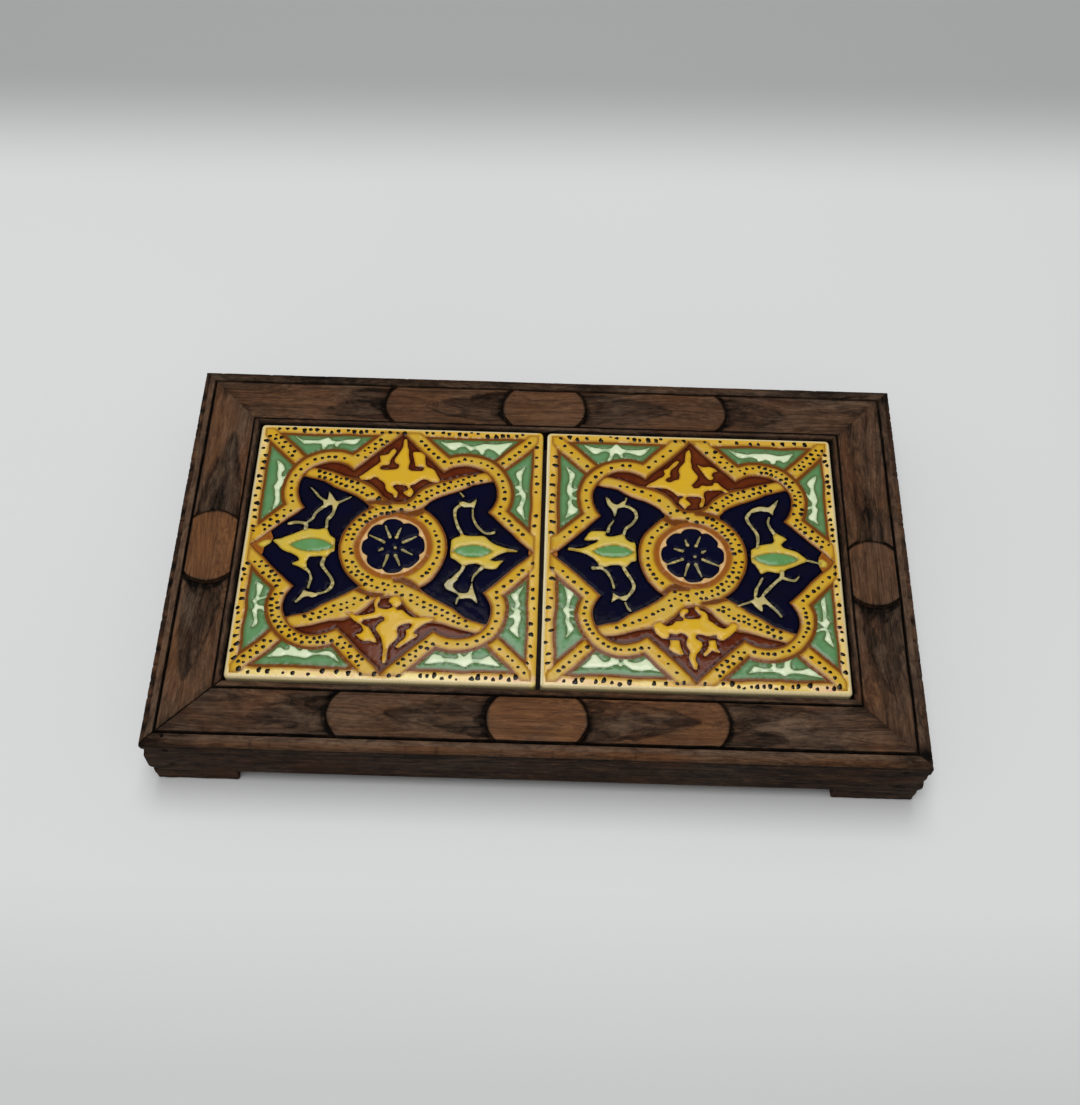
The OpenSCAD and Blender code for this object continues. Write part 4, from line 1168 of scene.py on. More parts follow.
# Brush lines on the blue fields: width at the start, width at the end, and the route
STEMS = {
    "left": [
        (1.0, 0.9, [(-32.4, 7.4), (-32.3, 9.4), (-33.6, 10.2), (-36.2, 10.4), (-38.8, 9.6)]),
        (0.7, 1.0, [(-32.6, 10.2), (-30.6, 12), (-29.4, 14.6), (-27.6, 16.8), (-26, 18.6)]),
        (1.0, 0.8, [(-22.6, 17.6), (-23.2, 14.6), (-24.7, 12), (-24.8, 8.6)]),
        (0.8, 0.6, [(-30.4, -9), (-28.9, -10.6), (-28.2, -13), (-28.5, -15), (-28.9, -17)]),
        (0.9, 0.8, [(-24.3, -4.4), (-24.8, -7), (-23.3, -9.6), (-21.2, -12.6), (-20.3, -15),
                    (-21.2, -17.4), (-23.4, -19), (-26.5, -19.6)]),
        (0.8, 0.9, [(24.8, 8), (23.3, 10.6), (22.4, 13.6), (21.9, 16.5), (22.3, 18.6), (23.8, 20.1),
                    (25.5, 20.6)]),
        (0.5, 0.8, [(28.4, 18.6), (28.7, 15.5), (29.8, 12.3), (31.6, 9.7), (33.2, 8.2), (35, 7.8),
                    (36.7, 8.5)]),
        (0.4, 0.6, [(23.3, 25.5), (24.7, 23.8)]),
        (0.9, 1.1, [(26.2, -6.2), (25.2, -8.6), (23.5, -10.9), (21.6, -12.8)]),
        (1.1, 0.4, [(33, -6.4), (31.3, -8.4), (29.8, -10.4), (29.4, -12.2)]),
        (0.7, 0.4, [(25, -19.2), (24.4, -20.6), (24.2, -22)])],
    "right": [
        (0.8, 0.9, [(-25.2, 9.3), (-24.6, 11.8), (-22.4, 14), (-20.7, 16.8), (-20.8, 19), (-22.5, 20.7),
                    (-24.4, 21.6)]),
        (0.9, 0.4, [(-31.5, 10.2), (-30.8, 12.4), (-29.8, 14), (-29.1, 15.2)]),
        (0.6, 0.5, [(-24.9, 23.3), (-24.5, 24.3), (-24.4, 25.4)]),
        (1.0, 0.9, [(-37.3, -5.3), (-35.2, -5.1), (-33.4, -4.8)]),
        (0.9, 0.6, [(-33.8, -5.2), (-31.4, -7.2), (-29.9, -10), (-29.1, -13.2)]),
        (0.9, 0.9, [(-25.5, -4.6), (-24.2, -7), (-22.5, -9.8), (-21.8, -12.2), (-22.3, -14.2),
                    (-24, -16.4)]),
        (0.4, 0.8, [(-25, -19), (-24.2, -21.2), (-23, -22.6)]),
        (0.9, 0.9, [(23.4, 5.6), (23.8, 8.4), (23.6, 11), (22, 13.6), (20.6, 16), (20.2, 18.2),
                    (21.4, 20.4)]),
        (1.0, 0.5, [(30.1, 11.6), (28.5, 14.4), (27.9, 16.6), (28.4, 18.6)]),
        (1.0, 0.8, [(31.9, -4.6), (31.7, -6.8), (29.8, -9), (27.6, -11.4), (25, -14.2), (24, -16)]),
        (0.9, 0.6, [(31.9, -7), (34.4, -7.8), (36.4, -7.8), (37.8, -6.4)]),
        (0.6, 0.9, [(24.8, -7.8), (23.3, -10.4), (22, -12.6), (21.6, -15)]),
        (0.7, 0.5, [(41.6, 0.3), (43.5, 0), (46, -0.6)])]}

LENSES = {"left": [(-29.2, 0.8, 8.0), (29.3, 0.4, 7.3)], "right": [(-29.2, 1.8, 7.6), (29.9, 0.7, 8.2)]}
LENS_HALF_H = 2.7

# Lime flourishes on either side of the middle of each side: places along the side, and outward
FLOURISHES = {
    ("left", "top"): [
        [(-40.7, 49.1), (-38.2, 47.7), (-35.4, 47.5), (-32.1, 47.5), (-29.9, 48.2), (-28.2, 48.8),
         (-26.8, 47.7), (-24.9, 46.9), (-22.1, 47.5), (-19.3, 47.8), (-15.7, 48.5), (-17.4, 46),
         (-19.3, 45.6), (-23.2, 46), (-24.1, 45.2), (-24.4, 44.3), (-25.3, 44.9), (-25.7, 45.7),
         (-27.9, 45.4), (-28.8, 44.3), (-29.3, 43.2), (-30, 43.5), (-30.3, 44.6), (-30.7, 45.7),
         (-32.7, 46), (-35.4, 45.7), (-37.1, 45.7), (-38.8, 47.3)],
        [(14.6, 48.4), (16.8, 47.9), (19.6, 48.2), (22.3, 48.4), (24.3, 47.4), (26.8, 46.6), (29, 47.3),
         (31.2, 47.9), (34, 47.7), (36.8, 47.8), (41.8, 48.5), (39.8, 46), (38.2, 44.3), (37.3, 42.9),
         (36.2, 43.8), (34.6, 44.9), (32.9, 45.7), (31.8, 44.9), (31.5, 43.8), (30.9, 42.9),
         (30.1, 43.5), (29.6, 44.6), (28.4, 45.4), (27.3, 45.2), (26.2, 44.6), (25.4, 45.4), (24, 46.3),
         (21.8, 46), (20.1, 44.6), (18.4, 44.9), (16.8, 46.3), (15.4, 47.4)]],
    ("left", "bottom"): [
        [(-39.9, 46.3), (-35.4, 46.3), (-33.2, 45.8), (-29.3, 46.3), (-26.8, 46.7), (-24.9, 45.7),
         (-23.2, 45.2), (-19.3, 45.3), (-17.1, 46.3), (-14.9, 47.5), (-15.7, 46.2), (-17.1, 44.6),
         (-18.5, 43.8), (-20.4, 43.8), (-22.7, 44.5), (-24.9, 44.3), (-26.3, 43.6), (-26.8, 42.1),
         (-27.7, 42.5), (-28.2, 43.6), (-29.3, 43.8), (-30.4, 42.9), (-31.3, 41.6), (-32.7, 40.4),
         (-33.2, 41), (-32.4, 42.4), (-32.7, 43.5), (-34.1, 43.8), (-35.4, 42.9), (-36.8, 43.2),
         (-38.2, 44.9)],
        [(14.8, 47.5), (19.6, 46.9), (22.3, 46.6), (25.1, 46.8), (27.3, 47.5), (29, 48.1), (30.1, 47.3),
         (31.8, 46.6), (34, 46.9), (36.8, 47.3), (40.7, 47.7), (38.7, 45.2), (37.3, 43.8), (36.2, 44.3),
         (34.6, 45.3), (31.5, 45.2), (30.9, 43.8), (31.2, 42.4), (32.3, 40.7), (31.2, 41.6),
         (29.8, 42.9), (28.4, 44.3), (27.3, 43.8), (26.2, 42.7), (25.7, 42.9), (26.2, 44.3),
         (25.7, 45.1), (21.2, 45.1), (20.1, 44.2), (17.6, 43.6), (16.2, 45.2)]],
    ("left", "left"): [
        [(-34.9, 46.6), (-33.2, 46.3), (-31.6, 46.4), (-29.9, 47.1), (-28.5, 47.8), (-27.1, 47.1),
         (-25.4, 47.1), (-24.1, 47.9), (-22.7, 46.9), (-21, 46.6), (-15.7, 47.1), (-16.3, 45.7),
         (-17.1, 44.7), (-18.8, 44.9), (-22.1, 45.7), (-22.1, 44.3), (-21.6, 42.9), (-22.7, 43.5),
         (-23.5, 45.2), (-24.3, 46.3), (-25.4, 46), (-26.3, 45.2), (-26.3, 43.8), (-26.8, 42.7),
         (-28.2, 42.1), (-29.3, 41.8), (-28.8, 42.9), (-27.9, 44.3), (-28.2, 45.7), (-31, 45.4),
         (-32.7, 44.9), (-34.1, 45.3)],
        [(15.7, 45.4), (20.1, 44.9), (22.3, 45.3), (24.6, 45.7), (26.2, 46.3), (27.3, 45.8), (29, 45.2),
         (31.2, 45.7), (34, 45.7), (37.3, 46.4), (36.8, 45.2), (35.1, 43.8), (33.4, 43.2), (31.8, 44.1),
         (30.4, 43.8), (30.9, 42.4), (31.5, 41.6), (30.1, 42.1), (29, 43.2), (27.9, 42.4), (26.8, 42.1),
         (26.2, 43.5), (24.6, 43.9), (20.1, 43.2), (18.4, 43.3), (16.8, 44.2)]],
    ("left", "right"): [
        [(-36, 46.9), (-32.1, 46.7), (-27.7, 47.4), (-25.4, 47.3), (-24.3, 47.7), (-23.2, 46.6),
         (-21.6, 47.5), (-19.3, 46.8), (-17.1, 46.8), (-13.8, 48.2), (-14.9, 46.8), (-16.6, 45.2),
         (-17.4, 43.8), (-18.8, 44.2), (-20.4, 45.4), (-21.6, 45.7), (-23.2, 45.2), (-22.7, 44.1),
         (-23.8, 44.3), (-24.6, 45.2), (-25.7, 44.9), (-26.6, 43.8), (-27.4, 43.6), (-27.4, 44.9),
         (-28.8, 45.4), (-30.2, 45.2), (-32.1, 43.9), (-33.5, 44.6), (-34.6, 45.7)],
        [(14.3, 47.9), (16.8, 47.4), (19.6, 46.7), (21.8, 47.1), (23.4, 47.7), (25.7, 47.9),
         (27.3, 46.9), (29, 46.2), (34, 46.2), (37.3, 47.1), (36.2, 45.7), (34.6, 44.1), (32.9, 44.3),
         (31.2, 45.2), (29.6, 45.1), (29.3, 43.8), (28.4, 43.6), (27.6, 44.9), (26.5, 45.2),
         (25.7, 43.8), (25.1, 44.1), (25.4, 45.7), (24, 46.3), (22.3, 45.6), (20.7, 45.2), (19.3, 44.3),
         (17.9, 44.9), (16.2, 46.6)]],
    ("right", "top"): [
        [(-40.7, 49.1), (-38.8, 48.4), (-36, 47.7), (-32.7, 47.3), (-30.4, 47.9), (-29.3, 49.1),
         (-28.2, 49.6), (-27.1, 48.6), (-26, 47.7), (-23.8, 47.3), (-18.2, 47.7), (-15.2, 48.5),
         (-17.4, 45.7), (-18.8, 44.9), (-21, 45.2), (-23.2, 46), (-25.4, 46), (-26, 45.2), (-25.7, 43.8),
         (-26.8, 44.1), (-27.7, 45.4), (-28.8, 45.7), (-29.6, 44.6), (-30.2, 43.2), (-31.3, 42.1),
         (-31.8, 42.7), (-31, 44.3), (-31, 45.7), (-32.4, 46.3), (-34.3, 46), (-35.4, 45.2),
         (-37.1, 45.2), (-38.8, 46.8)],
        [(14.3, 49.1), (16.2, 47.9), (19, 47.1), (21.8, 46.6), (24, 47.1), (29, 47.3), (31.2, 47.1),
         (33.4, 46.7), (36.2, 47.1), (39, 47.7), (38.2, 46.3), (37.1, 44.6), (35.4, 43.5), (34, 44.3),
         (32.6, 44.3), (32.1, 42.9), (30.9, 42.9), (30.1, 44.1), (28.7, 44.6), (27.3, 44.2),
         (25.9, 43.8), (25.1, 44.9), (22.9, 45.4), (20.1, 44.9), (18.4, 45.2), (16.8, 46.6),
         (15.4, 47.9)]],
    ("right", "bottom"): [
        [(-40.7, 46.8), (-37.7, 47.1), (-32.1, 46.8), (-29.9, 46.3), (-27.7, 45.4), (-26.6, 46.3),
         (-25.4, 45.4), (-22.7, 47.1), (-19.3, 47.4), (-16, 47.1), (-12.7, 47.7), (-13.8, 46.3),
         (-15.4, 44.3), (-17.1, 42.9), (-19.3, 44.1), (-21.6, 44.6), (-23.8, 44.1), (-24.3, 42.7),
         (-25.2, 42.7), (-25.7, 44.1), (-26.8, 44.6), (-27.4, 43.2), (-28.2, 41.9), (-29.9, 41.8),
         (-30.2, 43.2), (-31, 44.3), (-32.7, 44.5), (-34.1, 43.2), (-35.2, 41.9), (-36.6, 41.8),
         (-37.4, 43.5), (-39.1, 45.4)],
        [(17.9, 47.4), (20.7, 46.9), (26.2, 46.7), (28.4, 47.1), (30.4, 48.1), (31.5, 47.4),
         (33.4, 46.8), (36.2, 46.9), (39.6, 47.7), (43.4, 48.4), (42.3, 47.4), (40.7, 46), (39, 44.6),
         (36.8, 45.4), (34, 45.7), (32.6, 44.9), (32.6, 43.2), (33.4, 41.3), (34.6, 39.7), (33.2, 40.2),
         (31.5, 41.6), (30.7, 42.9), (30.4, 44.6), (29, 45.2), (27.6, 44.9), (27.3, 43.5), (26.2, 42.4),
         (25.7, 42.9), (26.2, 44.1), (25.4, 45.2), (22.9, 45.4), (20.1, 44.6), (19, 46)]],
    ("right", "left"): [
        [(-35.4, 46), (-33.2, 45.6), (-31, 45.7), (-28.8, 46.4), (-26.6, 46), (-23.8, 47.5),
         (-22.1, 46.8), (-19.9, 46.3), (-17.1, 46.4), (-12.9, 47.3), (-14.1, 45.7), (-15.4, 44.1),
         (-17.1, 44.1), (-18.8, 44.9), (-22.7, 45.4), (-23.2, 43.8), (-24.1, 43.8), (-24.6, 45.2),
         (-26, 44.6), (-26.6, 43.4), (-27.2, 43.6), (-27.1, 44.9), (-28.8, 44.9), (-30.4, 44.1),
         (-32.1, 43.6), (-33.8, 44.6)],
        [(15.7, 47.4), (17.9, 46.7), (20.7, 46.3), (22.9, 46.6), (24.8, 45.7), (27.3, 46.8),
         (30.1, 46.8), (32.9, 46), (35.7, 46.3), (38.4, 47.3), (37.3, 45.7), (35.7, 44.1), (34, 44.1),
         (31.8, 45.1), (29.6, 45.2), (28.7, 43.8), (29, 42.9), (27.9, 43.5), (27.1, 44.9), (25.7, 44.6),
         (24.8, 43.2), (24, 43.5), (24.3, 44.9), (22.9, 45.2), (21.2, 44.3), (20.1, 42.9), (18.4, 43.5),
         (17.3, 45.2)]],
    ("right", "right"): [
        [(-36, 48.1), (-33.2, 47.7), (-30.4, 47.4), (-28.2, 46.8), (-26.8, 47.3), (-25.7, 47.9),
         (-24.6, 47.4), (-23.2, 46.6), (-21, 46.8), (-14.9, 46.8), (-16, 45.4), (-17.7, 45.1),
         (-19.9, 45.4), (-24.9, 45.4), (-25.2, 44.3), (-24.6, 43.2), (-25.4, 43.5), (-26.6, 44.9),
         (-27.7, 45.7), (-28.2, 44.6), (-29.1, 42.7), (-29.9, 42.9), (-29.1, 44.6), (-29.3, 46),
         (-31, 46), (-32.7, 45.4), (-34.1, 46.3)],
        [(16.5, 46.8), (18.4, 46.3), (20.7, 46.6), (22.9, 47.1), (24.6, 46.3), (26.8, 47.3), (29, 46.8),
         (31.8, 46), (34.6, 46.2), (37.9, 47.3), (36.8, 45.2), (34.8, 43.5), (33.4, 43.9), (31.8, 44.6),
         (29, 43.9), (29.8, 42.7), (28.7, 42.9), (27.3, 43.8), (25.9, 44.9), (24.6, 44.9), (23.7, 43.2),
         (22.9, 43.2), (23.2, 44.6), (21.8, 44.9), (20.1, 43.6), (18.7, 43.5), (17.6, 45.2)]]}

# Pale lines between the petals of each rosette, from the middle outward
SPOKES = {
    "left": [((-3.1, 3), (-9, 6)), ((-0.9, 5), (-3.2, 10)), ((1.3, 5), (2.7, 9.2)), ((3.6, 3.2), (8.5, 5.6)),
             ((3.6, 0.2), (7.4, -1.6)), ((1.4, -2.2), (3.3, -6.5)), ((-1.4, -2.2), (-2.6, -7.2)),
             ((-3.6, 0.2), (-5, -0.8))],
    "right": [((-3.8, 3.2), (-7, 4.2)), ((-2, 5.6), (-2.9, 8)), ((1, 5.4), (2.7, 9.5)),
              ((3.2, 2.8), (4.6, 3.6)), ((3.2, -0.1), (9.5, -2.9)), ((0.8, -2.2), (2.9, -7.4)),
              ((-1.8, -2.2), (-3.5, -7.5)), ((-3.8, -0.3), (-10, -3))]}
ROSETTE_AT = {"left": (0.2, 1.5), "right": (-0.3, 1.4)}
ROSETTE_TURN = {"left": 27, "right": 23}
RING_AT = {"left": (0.2, 0.7), "right": (-0.2, 0.7)}

# Brown strokes where straps cross at the ring: first the wedges that leave the ring, then the lines
# that end the straps which pass under it
CROSSINGS = {
    "left": [(2.8, 1.1, [(1.2, 14.8), (4.6, 15.4), (7.6, 16.2), (10.2, 17.2), (12.6, 18.4)]),
             (2.4, 1.1, [(2.2, -12.2), (5.6, -13.4), (8.4, -14.9), (10.6, -16.2), (12.6, -17)]),
             (1.5, 1.4, [(-12.2, 19.4), (-9, 20.2), (-6.2, 20.2), (-2.6, 19.8)]),
             (1.4, 1.4, [(-13.2, -16), (-9.6, -17.8), (-6.2, -19), (-2, -19.6)])],
    "right": [(2.6, 1.1, [(-2, 15), (-5, 15.2), (-7.6, 15.9), (-10.2, 17.2), (-12.4, 18.2)]),
              (2.6, 1.2, [(-2.2, -12.2), (-5.6, -12.4), (-8.4, -13.2), (-10.6, -14.9), (-12.6, -16.8)]),
              (1.5, 1.4, [(1.5, 19.7), (5, 19.2), (7.6, 18.4), (11, 17.6)]),
              (1.4, 1.4, [(3, -18.8), (6, -18), (9.3, -17), (13, -15.8)])]}

# Amber fills the side tips of the inner star, before the blue begins, with a little yellow in some
TIPS = {
    "left": [[(-54, -8), (-46.8, -3.4), (-46.4, -0.6), (-44.3, 1.4), (-43.7, 3.4), (-44.8, 6), (-54, 10)],
             [(54, -5), (50.1, -1.8), (49.4, 0), (49.9, 1.8), (54, 5)]],
    "right": [[(-54, -5), (-50.1, -1.8), (-49.4, 0), (-49.9, 1.8), (-54, 5)],
              [(54, -8), (46.6, -3.6), (45.4, -0.8), (45.8, 2), (47, 4.4), (54, 8)]]}
TIP_SPOTS = {
    "left": [[(-48.9, 0.5), (-47, 2.2), (-44.6, 2.5), (-42.6, 1.5), (-44.6, 0), (-46.8, -0.8)]],
    "right": [[(45, -2), (48.2, -1.9), (48.6, 0.2), (46.6, 1.4), (44.6, 0)]]}

# Dots also follow the straps that pass over at each crossing
OVER = {
    "left": [[(-10.6, 13.4), (-6, 16.6), (0, 17.4), (5, 18.4), (9, 21.2)],
             [(-10.6, -11.6), (-6, -14.8), (0, -16.2), (5, -17.6), (10, -20.4)]],
    "right": [[(10.6, 13.4), (6, 16.2), (0, 17.4), (-5, 18.4), (-9, 21.2)],
              [(10.6, -11.6), (6, -14.4), (0, -16.2), (-5, -17), (-10, -19.6)]]}

# Each glaze: its height above the tile's face, its colour, the colours where it pools and where it
# thins out, how much that edge shows and how far in it reaches, the specular level and the least and
# most roughness. The border and the clay have materials of their own
GLAZES = {
    "border": (0.16,),
    "brown": (0.05, (102, 55, 15), (86, 44, 12), (118, 70, 20), 0.5, 0.95, 0.12),
    "yellow": (0.24, (194, 151, 34), (190, 156, 56), (132, 80, 20), 0.92, 1.0, 0.16),
    "maroon": (0.1, (82, 29, 9), (96, 43, 14), (36, 8, 3), 1.0, 1.1, 0.1, (0.06, 0.12)),
    "blue": (0.15, (12, 12, 37), (14, 14, 30), (1, 1, 5), 1.0, 1.3, 0.02, (0.05, 0.1)),
    "green": (0.15, (83, 130, 82), (95, 138, 94), (74, 84, 38), 0.9, 1.15),
    "lime": (0.22, (216, 222, 190), (198, 214, 174), (124, 160, 116), 0.75, 0.6),
    "pale": (0.2, (184, 166, 98), (170, 162, 124), (104, 96, 60), 0.8, 0.42),
    "amber": (0.09, (138, 76, 20), (118, 60, 16), (150, 94, 32), 0.6, 0.95, 0.1),
    "sand": (0.16, (214, 176, 122), (200, 160, 104), (150, 108, 60), 0.5, 0.5),
    "lens": (0.28, (84, 134, 72), (92, 140, 88), (104, 112, 38), 0.9, 0.7),
    "petals": (0.15, (9, 9, 34), (13, 15, 34), (3, 3, 7), 0.9, 0.7, 0.02, (0.05, 0.1)),
    "gold": (0.24, (204, 162, 30), (198, 158, 40), (150, 96, 22), 0.8, 0.8, 0.18),
    "lemon": (0.24, (200, 170, 52), (190, 168, 70), (134, 108, 32), 0.9, 0.8, 0.18),
    "dots": (0.27, (16, 10, 5), (24, 16, 5), (52, 34, 8), 0.7, 0.95, 0.1),
    "clay": (0,)}
GLAZE_INDEX = {name: k for k, name in enumerate(GLAZES)}


def resample(points, step, closed=True):
    """The same outline with a point at least every step."""
    result = []
    last = len(points) if closed else len(points) - 1
    for k in range(last):
        a = np.array(points[k], float)
        b = np.array(points[(k + 1) % len(points)], float)
        count = max(1, int(math.ceil(np.linalg.norm(b - a) / step)))
        result += [a + (b - a) * i / count for i in range(count)]
    if not closed:
        result.append(np.array(points[-1], float))
    return np.array(result)


def flowing(points, step=0.5, closed=True, sharp=0.35):
    """A smooth curve through given points."""
    p = np.array(points, float)
    n = len(p)
    result = []
    for k in range(n if closed else n - 1):
        p1, p2 = p[k], p[(k + 1) % n]
        p0 = p[k - 1] if closed or k > 0 else p1
        p3 = p[(k + 2) % n] if closed or k + 2 < n else p2
        m1, m2 = (p2 - p0) * sharp, (p3 - p1) * sharp
        count = max(1, int(math.ceil(np.linalg.norm(p2 - p1) / step)))
        for i in range(count):
            t = i / count
            result.append((2 * t ** 3 - 3 * t ** 2 + 1) * p1 + (t ** 3 - 2 * t ** 2 + t) * m1
                          + (3 * t ** 2 - 2 * t ** 3) * p2 + (t ** 3 - t ** 2) * m2)
    if not closed:
        result.append(p[-1])
    return np.array(result)


def headings(line):
    """The unit direction along a line at each of its points, and the one to its left."""
    ahead = np.gradient(line, axis=0)
    ahead /= np.linalg.norm(ahead, axis=1, keepdims=True)
    return ahead, np.stack([-ahead[:, 1], ahead[:, 0]], axis=1)


def brush(width0, width1, route):
    """The outline of one brush line, with rounded ends."""
    line = flowing(route, 0.6, closed=False, sharp=0.5)
    ahead, side = headings(line)
    t = np.linspace(0, 1, len(line))[:, None]
    half = (width0 + (width1 - width0) * t) * 0.66
    half = half * (1 + 0.12 * np.sin(t * 11 + route[0][0]))
    tip0 = line[0] - ahead[0] * half[0] * 0.8
    tip1 = line[-1] + ahead[-1] * half[-1] * 0.8
    return np.concatenate([line + side * half, [tip1], (line - side * half)[::-1], [tip0]])


def round_route(middle, radius, angles):
    """Points at the given angles, in radians, and radius from a middle."""
    return np.stack([middle[0] + radius * np.cos(angles), middle[1] + radius * np.sin(angles)], axis=1)


def circle(middle, radius, step=0.6):
    count = max(10, int(2 * math.pi * radius / step))
    return round_route(middle, radius, np.linspace(0, 2 * math.pi, count, endpoint=False))


def quarter_turn(k):
    """Turns rows of points by k quarters, anticlockwise."""
    c, s = round(math.cos(k * math.pi / 2)), round(math.sin(k * math.pi / 2))
    return np.array([[c, s], [-s, c]])


def lobe_meets(reach, lobe_r):
    """How far from the middle of a star's side its lobes begin."""
    return math.sqrt((lobe_r ** 2 - 2 * (reach / 2 - LOBE_C) ** 2) / 2)


def star_loop(reach, lobe_r, step=0.7):
    """The outline of a square on its corner, joined with a round lobe on each diagonal."""
    t = lobe_meets(reach, lobe_r)
    x0, y0 = reach / 2 + t, reach / 2 - t
    a0 = math.atan2(y0 - LOBE_C, x0 - LOBE_C)
    arc = np.linspace(a0, math.pi / 2 - a0, int(lobe_r * (math.pi / 2 - 2 * a0) / step))
    start = resample([(reach, 0), (x0, y0)], step, closed=False)[:-1]
    rest = resample([(y0, x0), (0, reach)], step, closed=False)[1:-1]
    quarter = np.concatenate([start, round_route((LOBE_C, LOBE_C), lobe_r, arc), rest])
    return np.concatenate([quarter @ quarter_turn(k) for k in range(4)])


def clipped(loop, limit):
    """An outline held within a square."""
    return np.clip(loop, -limit, limit)


def petals(middle, turn):
    """Eight round petals that meet in notches."""
    reach, notch = 11.4, 10.1
    a = np.linspace(0, 2 * math.pi, int(2 * math.pi * reach / 0.5), endpoint=False)
    share = np.abs(np.cos((a - math.radians(turn)) * 4))
    return round_route(middle, notch + (reach - notch) * np.sqrt(np.clip(1 - share ** 5, 0, 1)), a)


def panels():
    """The eight green panels between border and star."""
    strap = (STRAP_W / 2 + LINE_W) * math.sqrt(2)
    star = STAR_OUT + LINE_W * math.sqrt(2)
    lobe_r = LOBE_OUT + LINE_W
    # Where the strap's side and the star's side reach the round lobe
    d = math.sqrt((lobe_r ** 2 - strap ** 2 / 2) / 2)
    t = lobe_meets(star, lobe_r)
    angles = [math.atan2(y - LOBE_C, x - LOBE_C)
              for x, y in ((LOBE_C + d - strap / 2, LOBE_C + d + strap / 2), (star / 2 - t, star / 2 + t))]
    arc = round_route((LOBE_C, LOBE_C), lobe_r, np.linspace(*angles, 20))
    loop = resample([(star - PANEL_TOP, PANEL_TOP), (PANEL_TOP - strap, PANEL_TOP), *arc], 0.7)
    return [shape * np.array([x, y]) for x in (1, -1) for y in (1, -1) for shape in (loop, loop[:, ::-1])]


def straps():
    """Straps from the corners to the lobes."""
    half = STRAP_W / 2
    loop = resample([(36, -half), (76.5, -half), (76.5, half), (36, half)], 0.7)
    result = []
    for k in range(4):
        a = math.radians(45 + 90 * k)
        c, s = math.cos(a), math.sin(a)
        result.append(clipped(loop @ np.array([[c, s], [-s, c]]), STRAP_LIMIT))
    return result


def inner_star(inset):
    return star_loop(STAR_IN - inset * math.sqrt(2), LOBE_IN - inset)


def crossing_bands():
    """Each quarter's curved band from its lobe to the ring, first those behind the ring."""
    result = []
    for lower, y in zip(BAND_LOWER, (1, -1)):
        loop = flowing(lower + [(0, RING_IN)] + BAND_UPPER[::-1], 0.7)
        result += [loop * np.array([x, y]) for x in (1, -1)]
    return result


def side_fields():
    """What lies left and right between the crossing bands, later limited to the star's inside."""
    back, front = [[(51.5, edge[0][1] + 1.4)] + [(x, y - 0.6) for x, y in edge] for edge in BAND_LOWER]
    loop = resample(back + [(x, -y) for x, y in reversed(front)], 0.7)
    return [loop, loop * np.array([-1, 1])]


def end_fields():
    """What lies behind and in front of the crossing bands, later limited to the star's inside."""
    edge = [(x, y + LINE_W * (0.45 if x > 18 else 1.0)) for x, y in BAND_UPPER]
    half = [(40, 51.5), (40, edge[0][1])] + edge
    loop = resample(half + [(-x, y) for x, y in reversed(half[:-1])], 0.7)
    return [loop, loop * np.array([1, -1])]


def lens(x, y, half):
    t = np.linspace(-1, 1, 24)
    lift = LENS_HALF_H * (1 - t ** 2) ** 0.85
    upper = np.stack([x + half * t, y + lift], axis=1)
    lower = np.stack([x + half * t, y - lift], axis=1)[::-1]
    return np.concatenate([upper, lower[1:-1]])


def turned(loop, side):
    """A flourish, given along a side and outward, in its place on the tile."""
    p = np.array(loop, float)
    if side == "top":
        return p
    if side == "bottom":
        return p * np.array([1, -1])
    if side == "left":
        return np.stack([-p[:, 1], p[:, 0]], axis=1)
    return p[:, ::-1]


def inside(loop, points):
    """Which points lie inside a closed outline."""
    low, high = loop.min(0), loop.max(0)
    near = np.all((points >= low) & (points <= high), axis=1)
    result = np.zeros(len(points), bool)
    q = points[near]
    hit = np.zeros(len(q), bool)
    for (x1, y1), (x2, y2) in zip(loop, np.roll(loop, -1, axis=0)):
        if y1 == y2:
            continue
        crosses = (y1 > q[:, 1]) != (y2 > q[:, 1])
        hit ^= crosses & (q[:, 0] < (x2 - x1) * (q[:, 1] - y1) / (y2 - y1) + x1)
    result[near] = hit
    return result


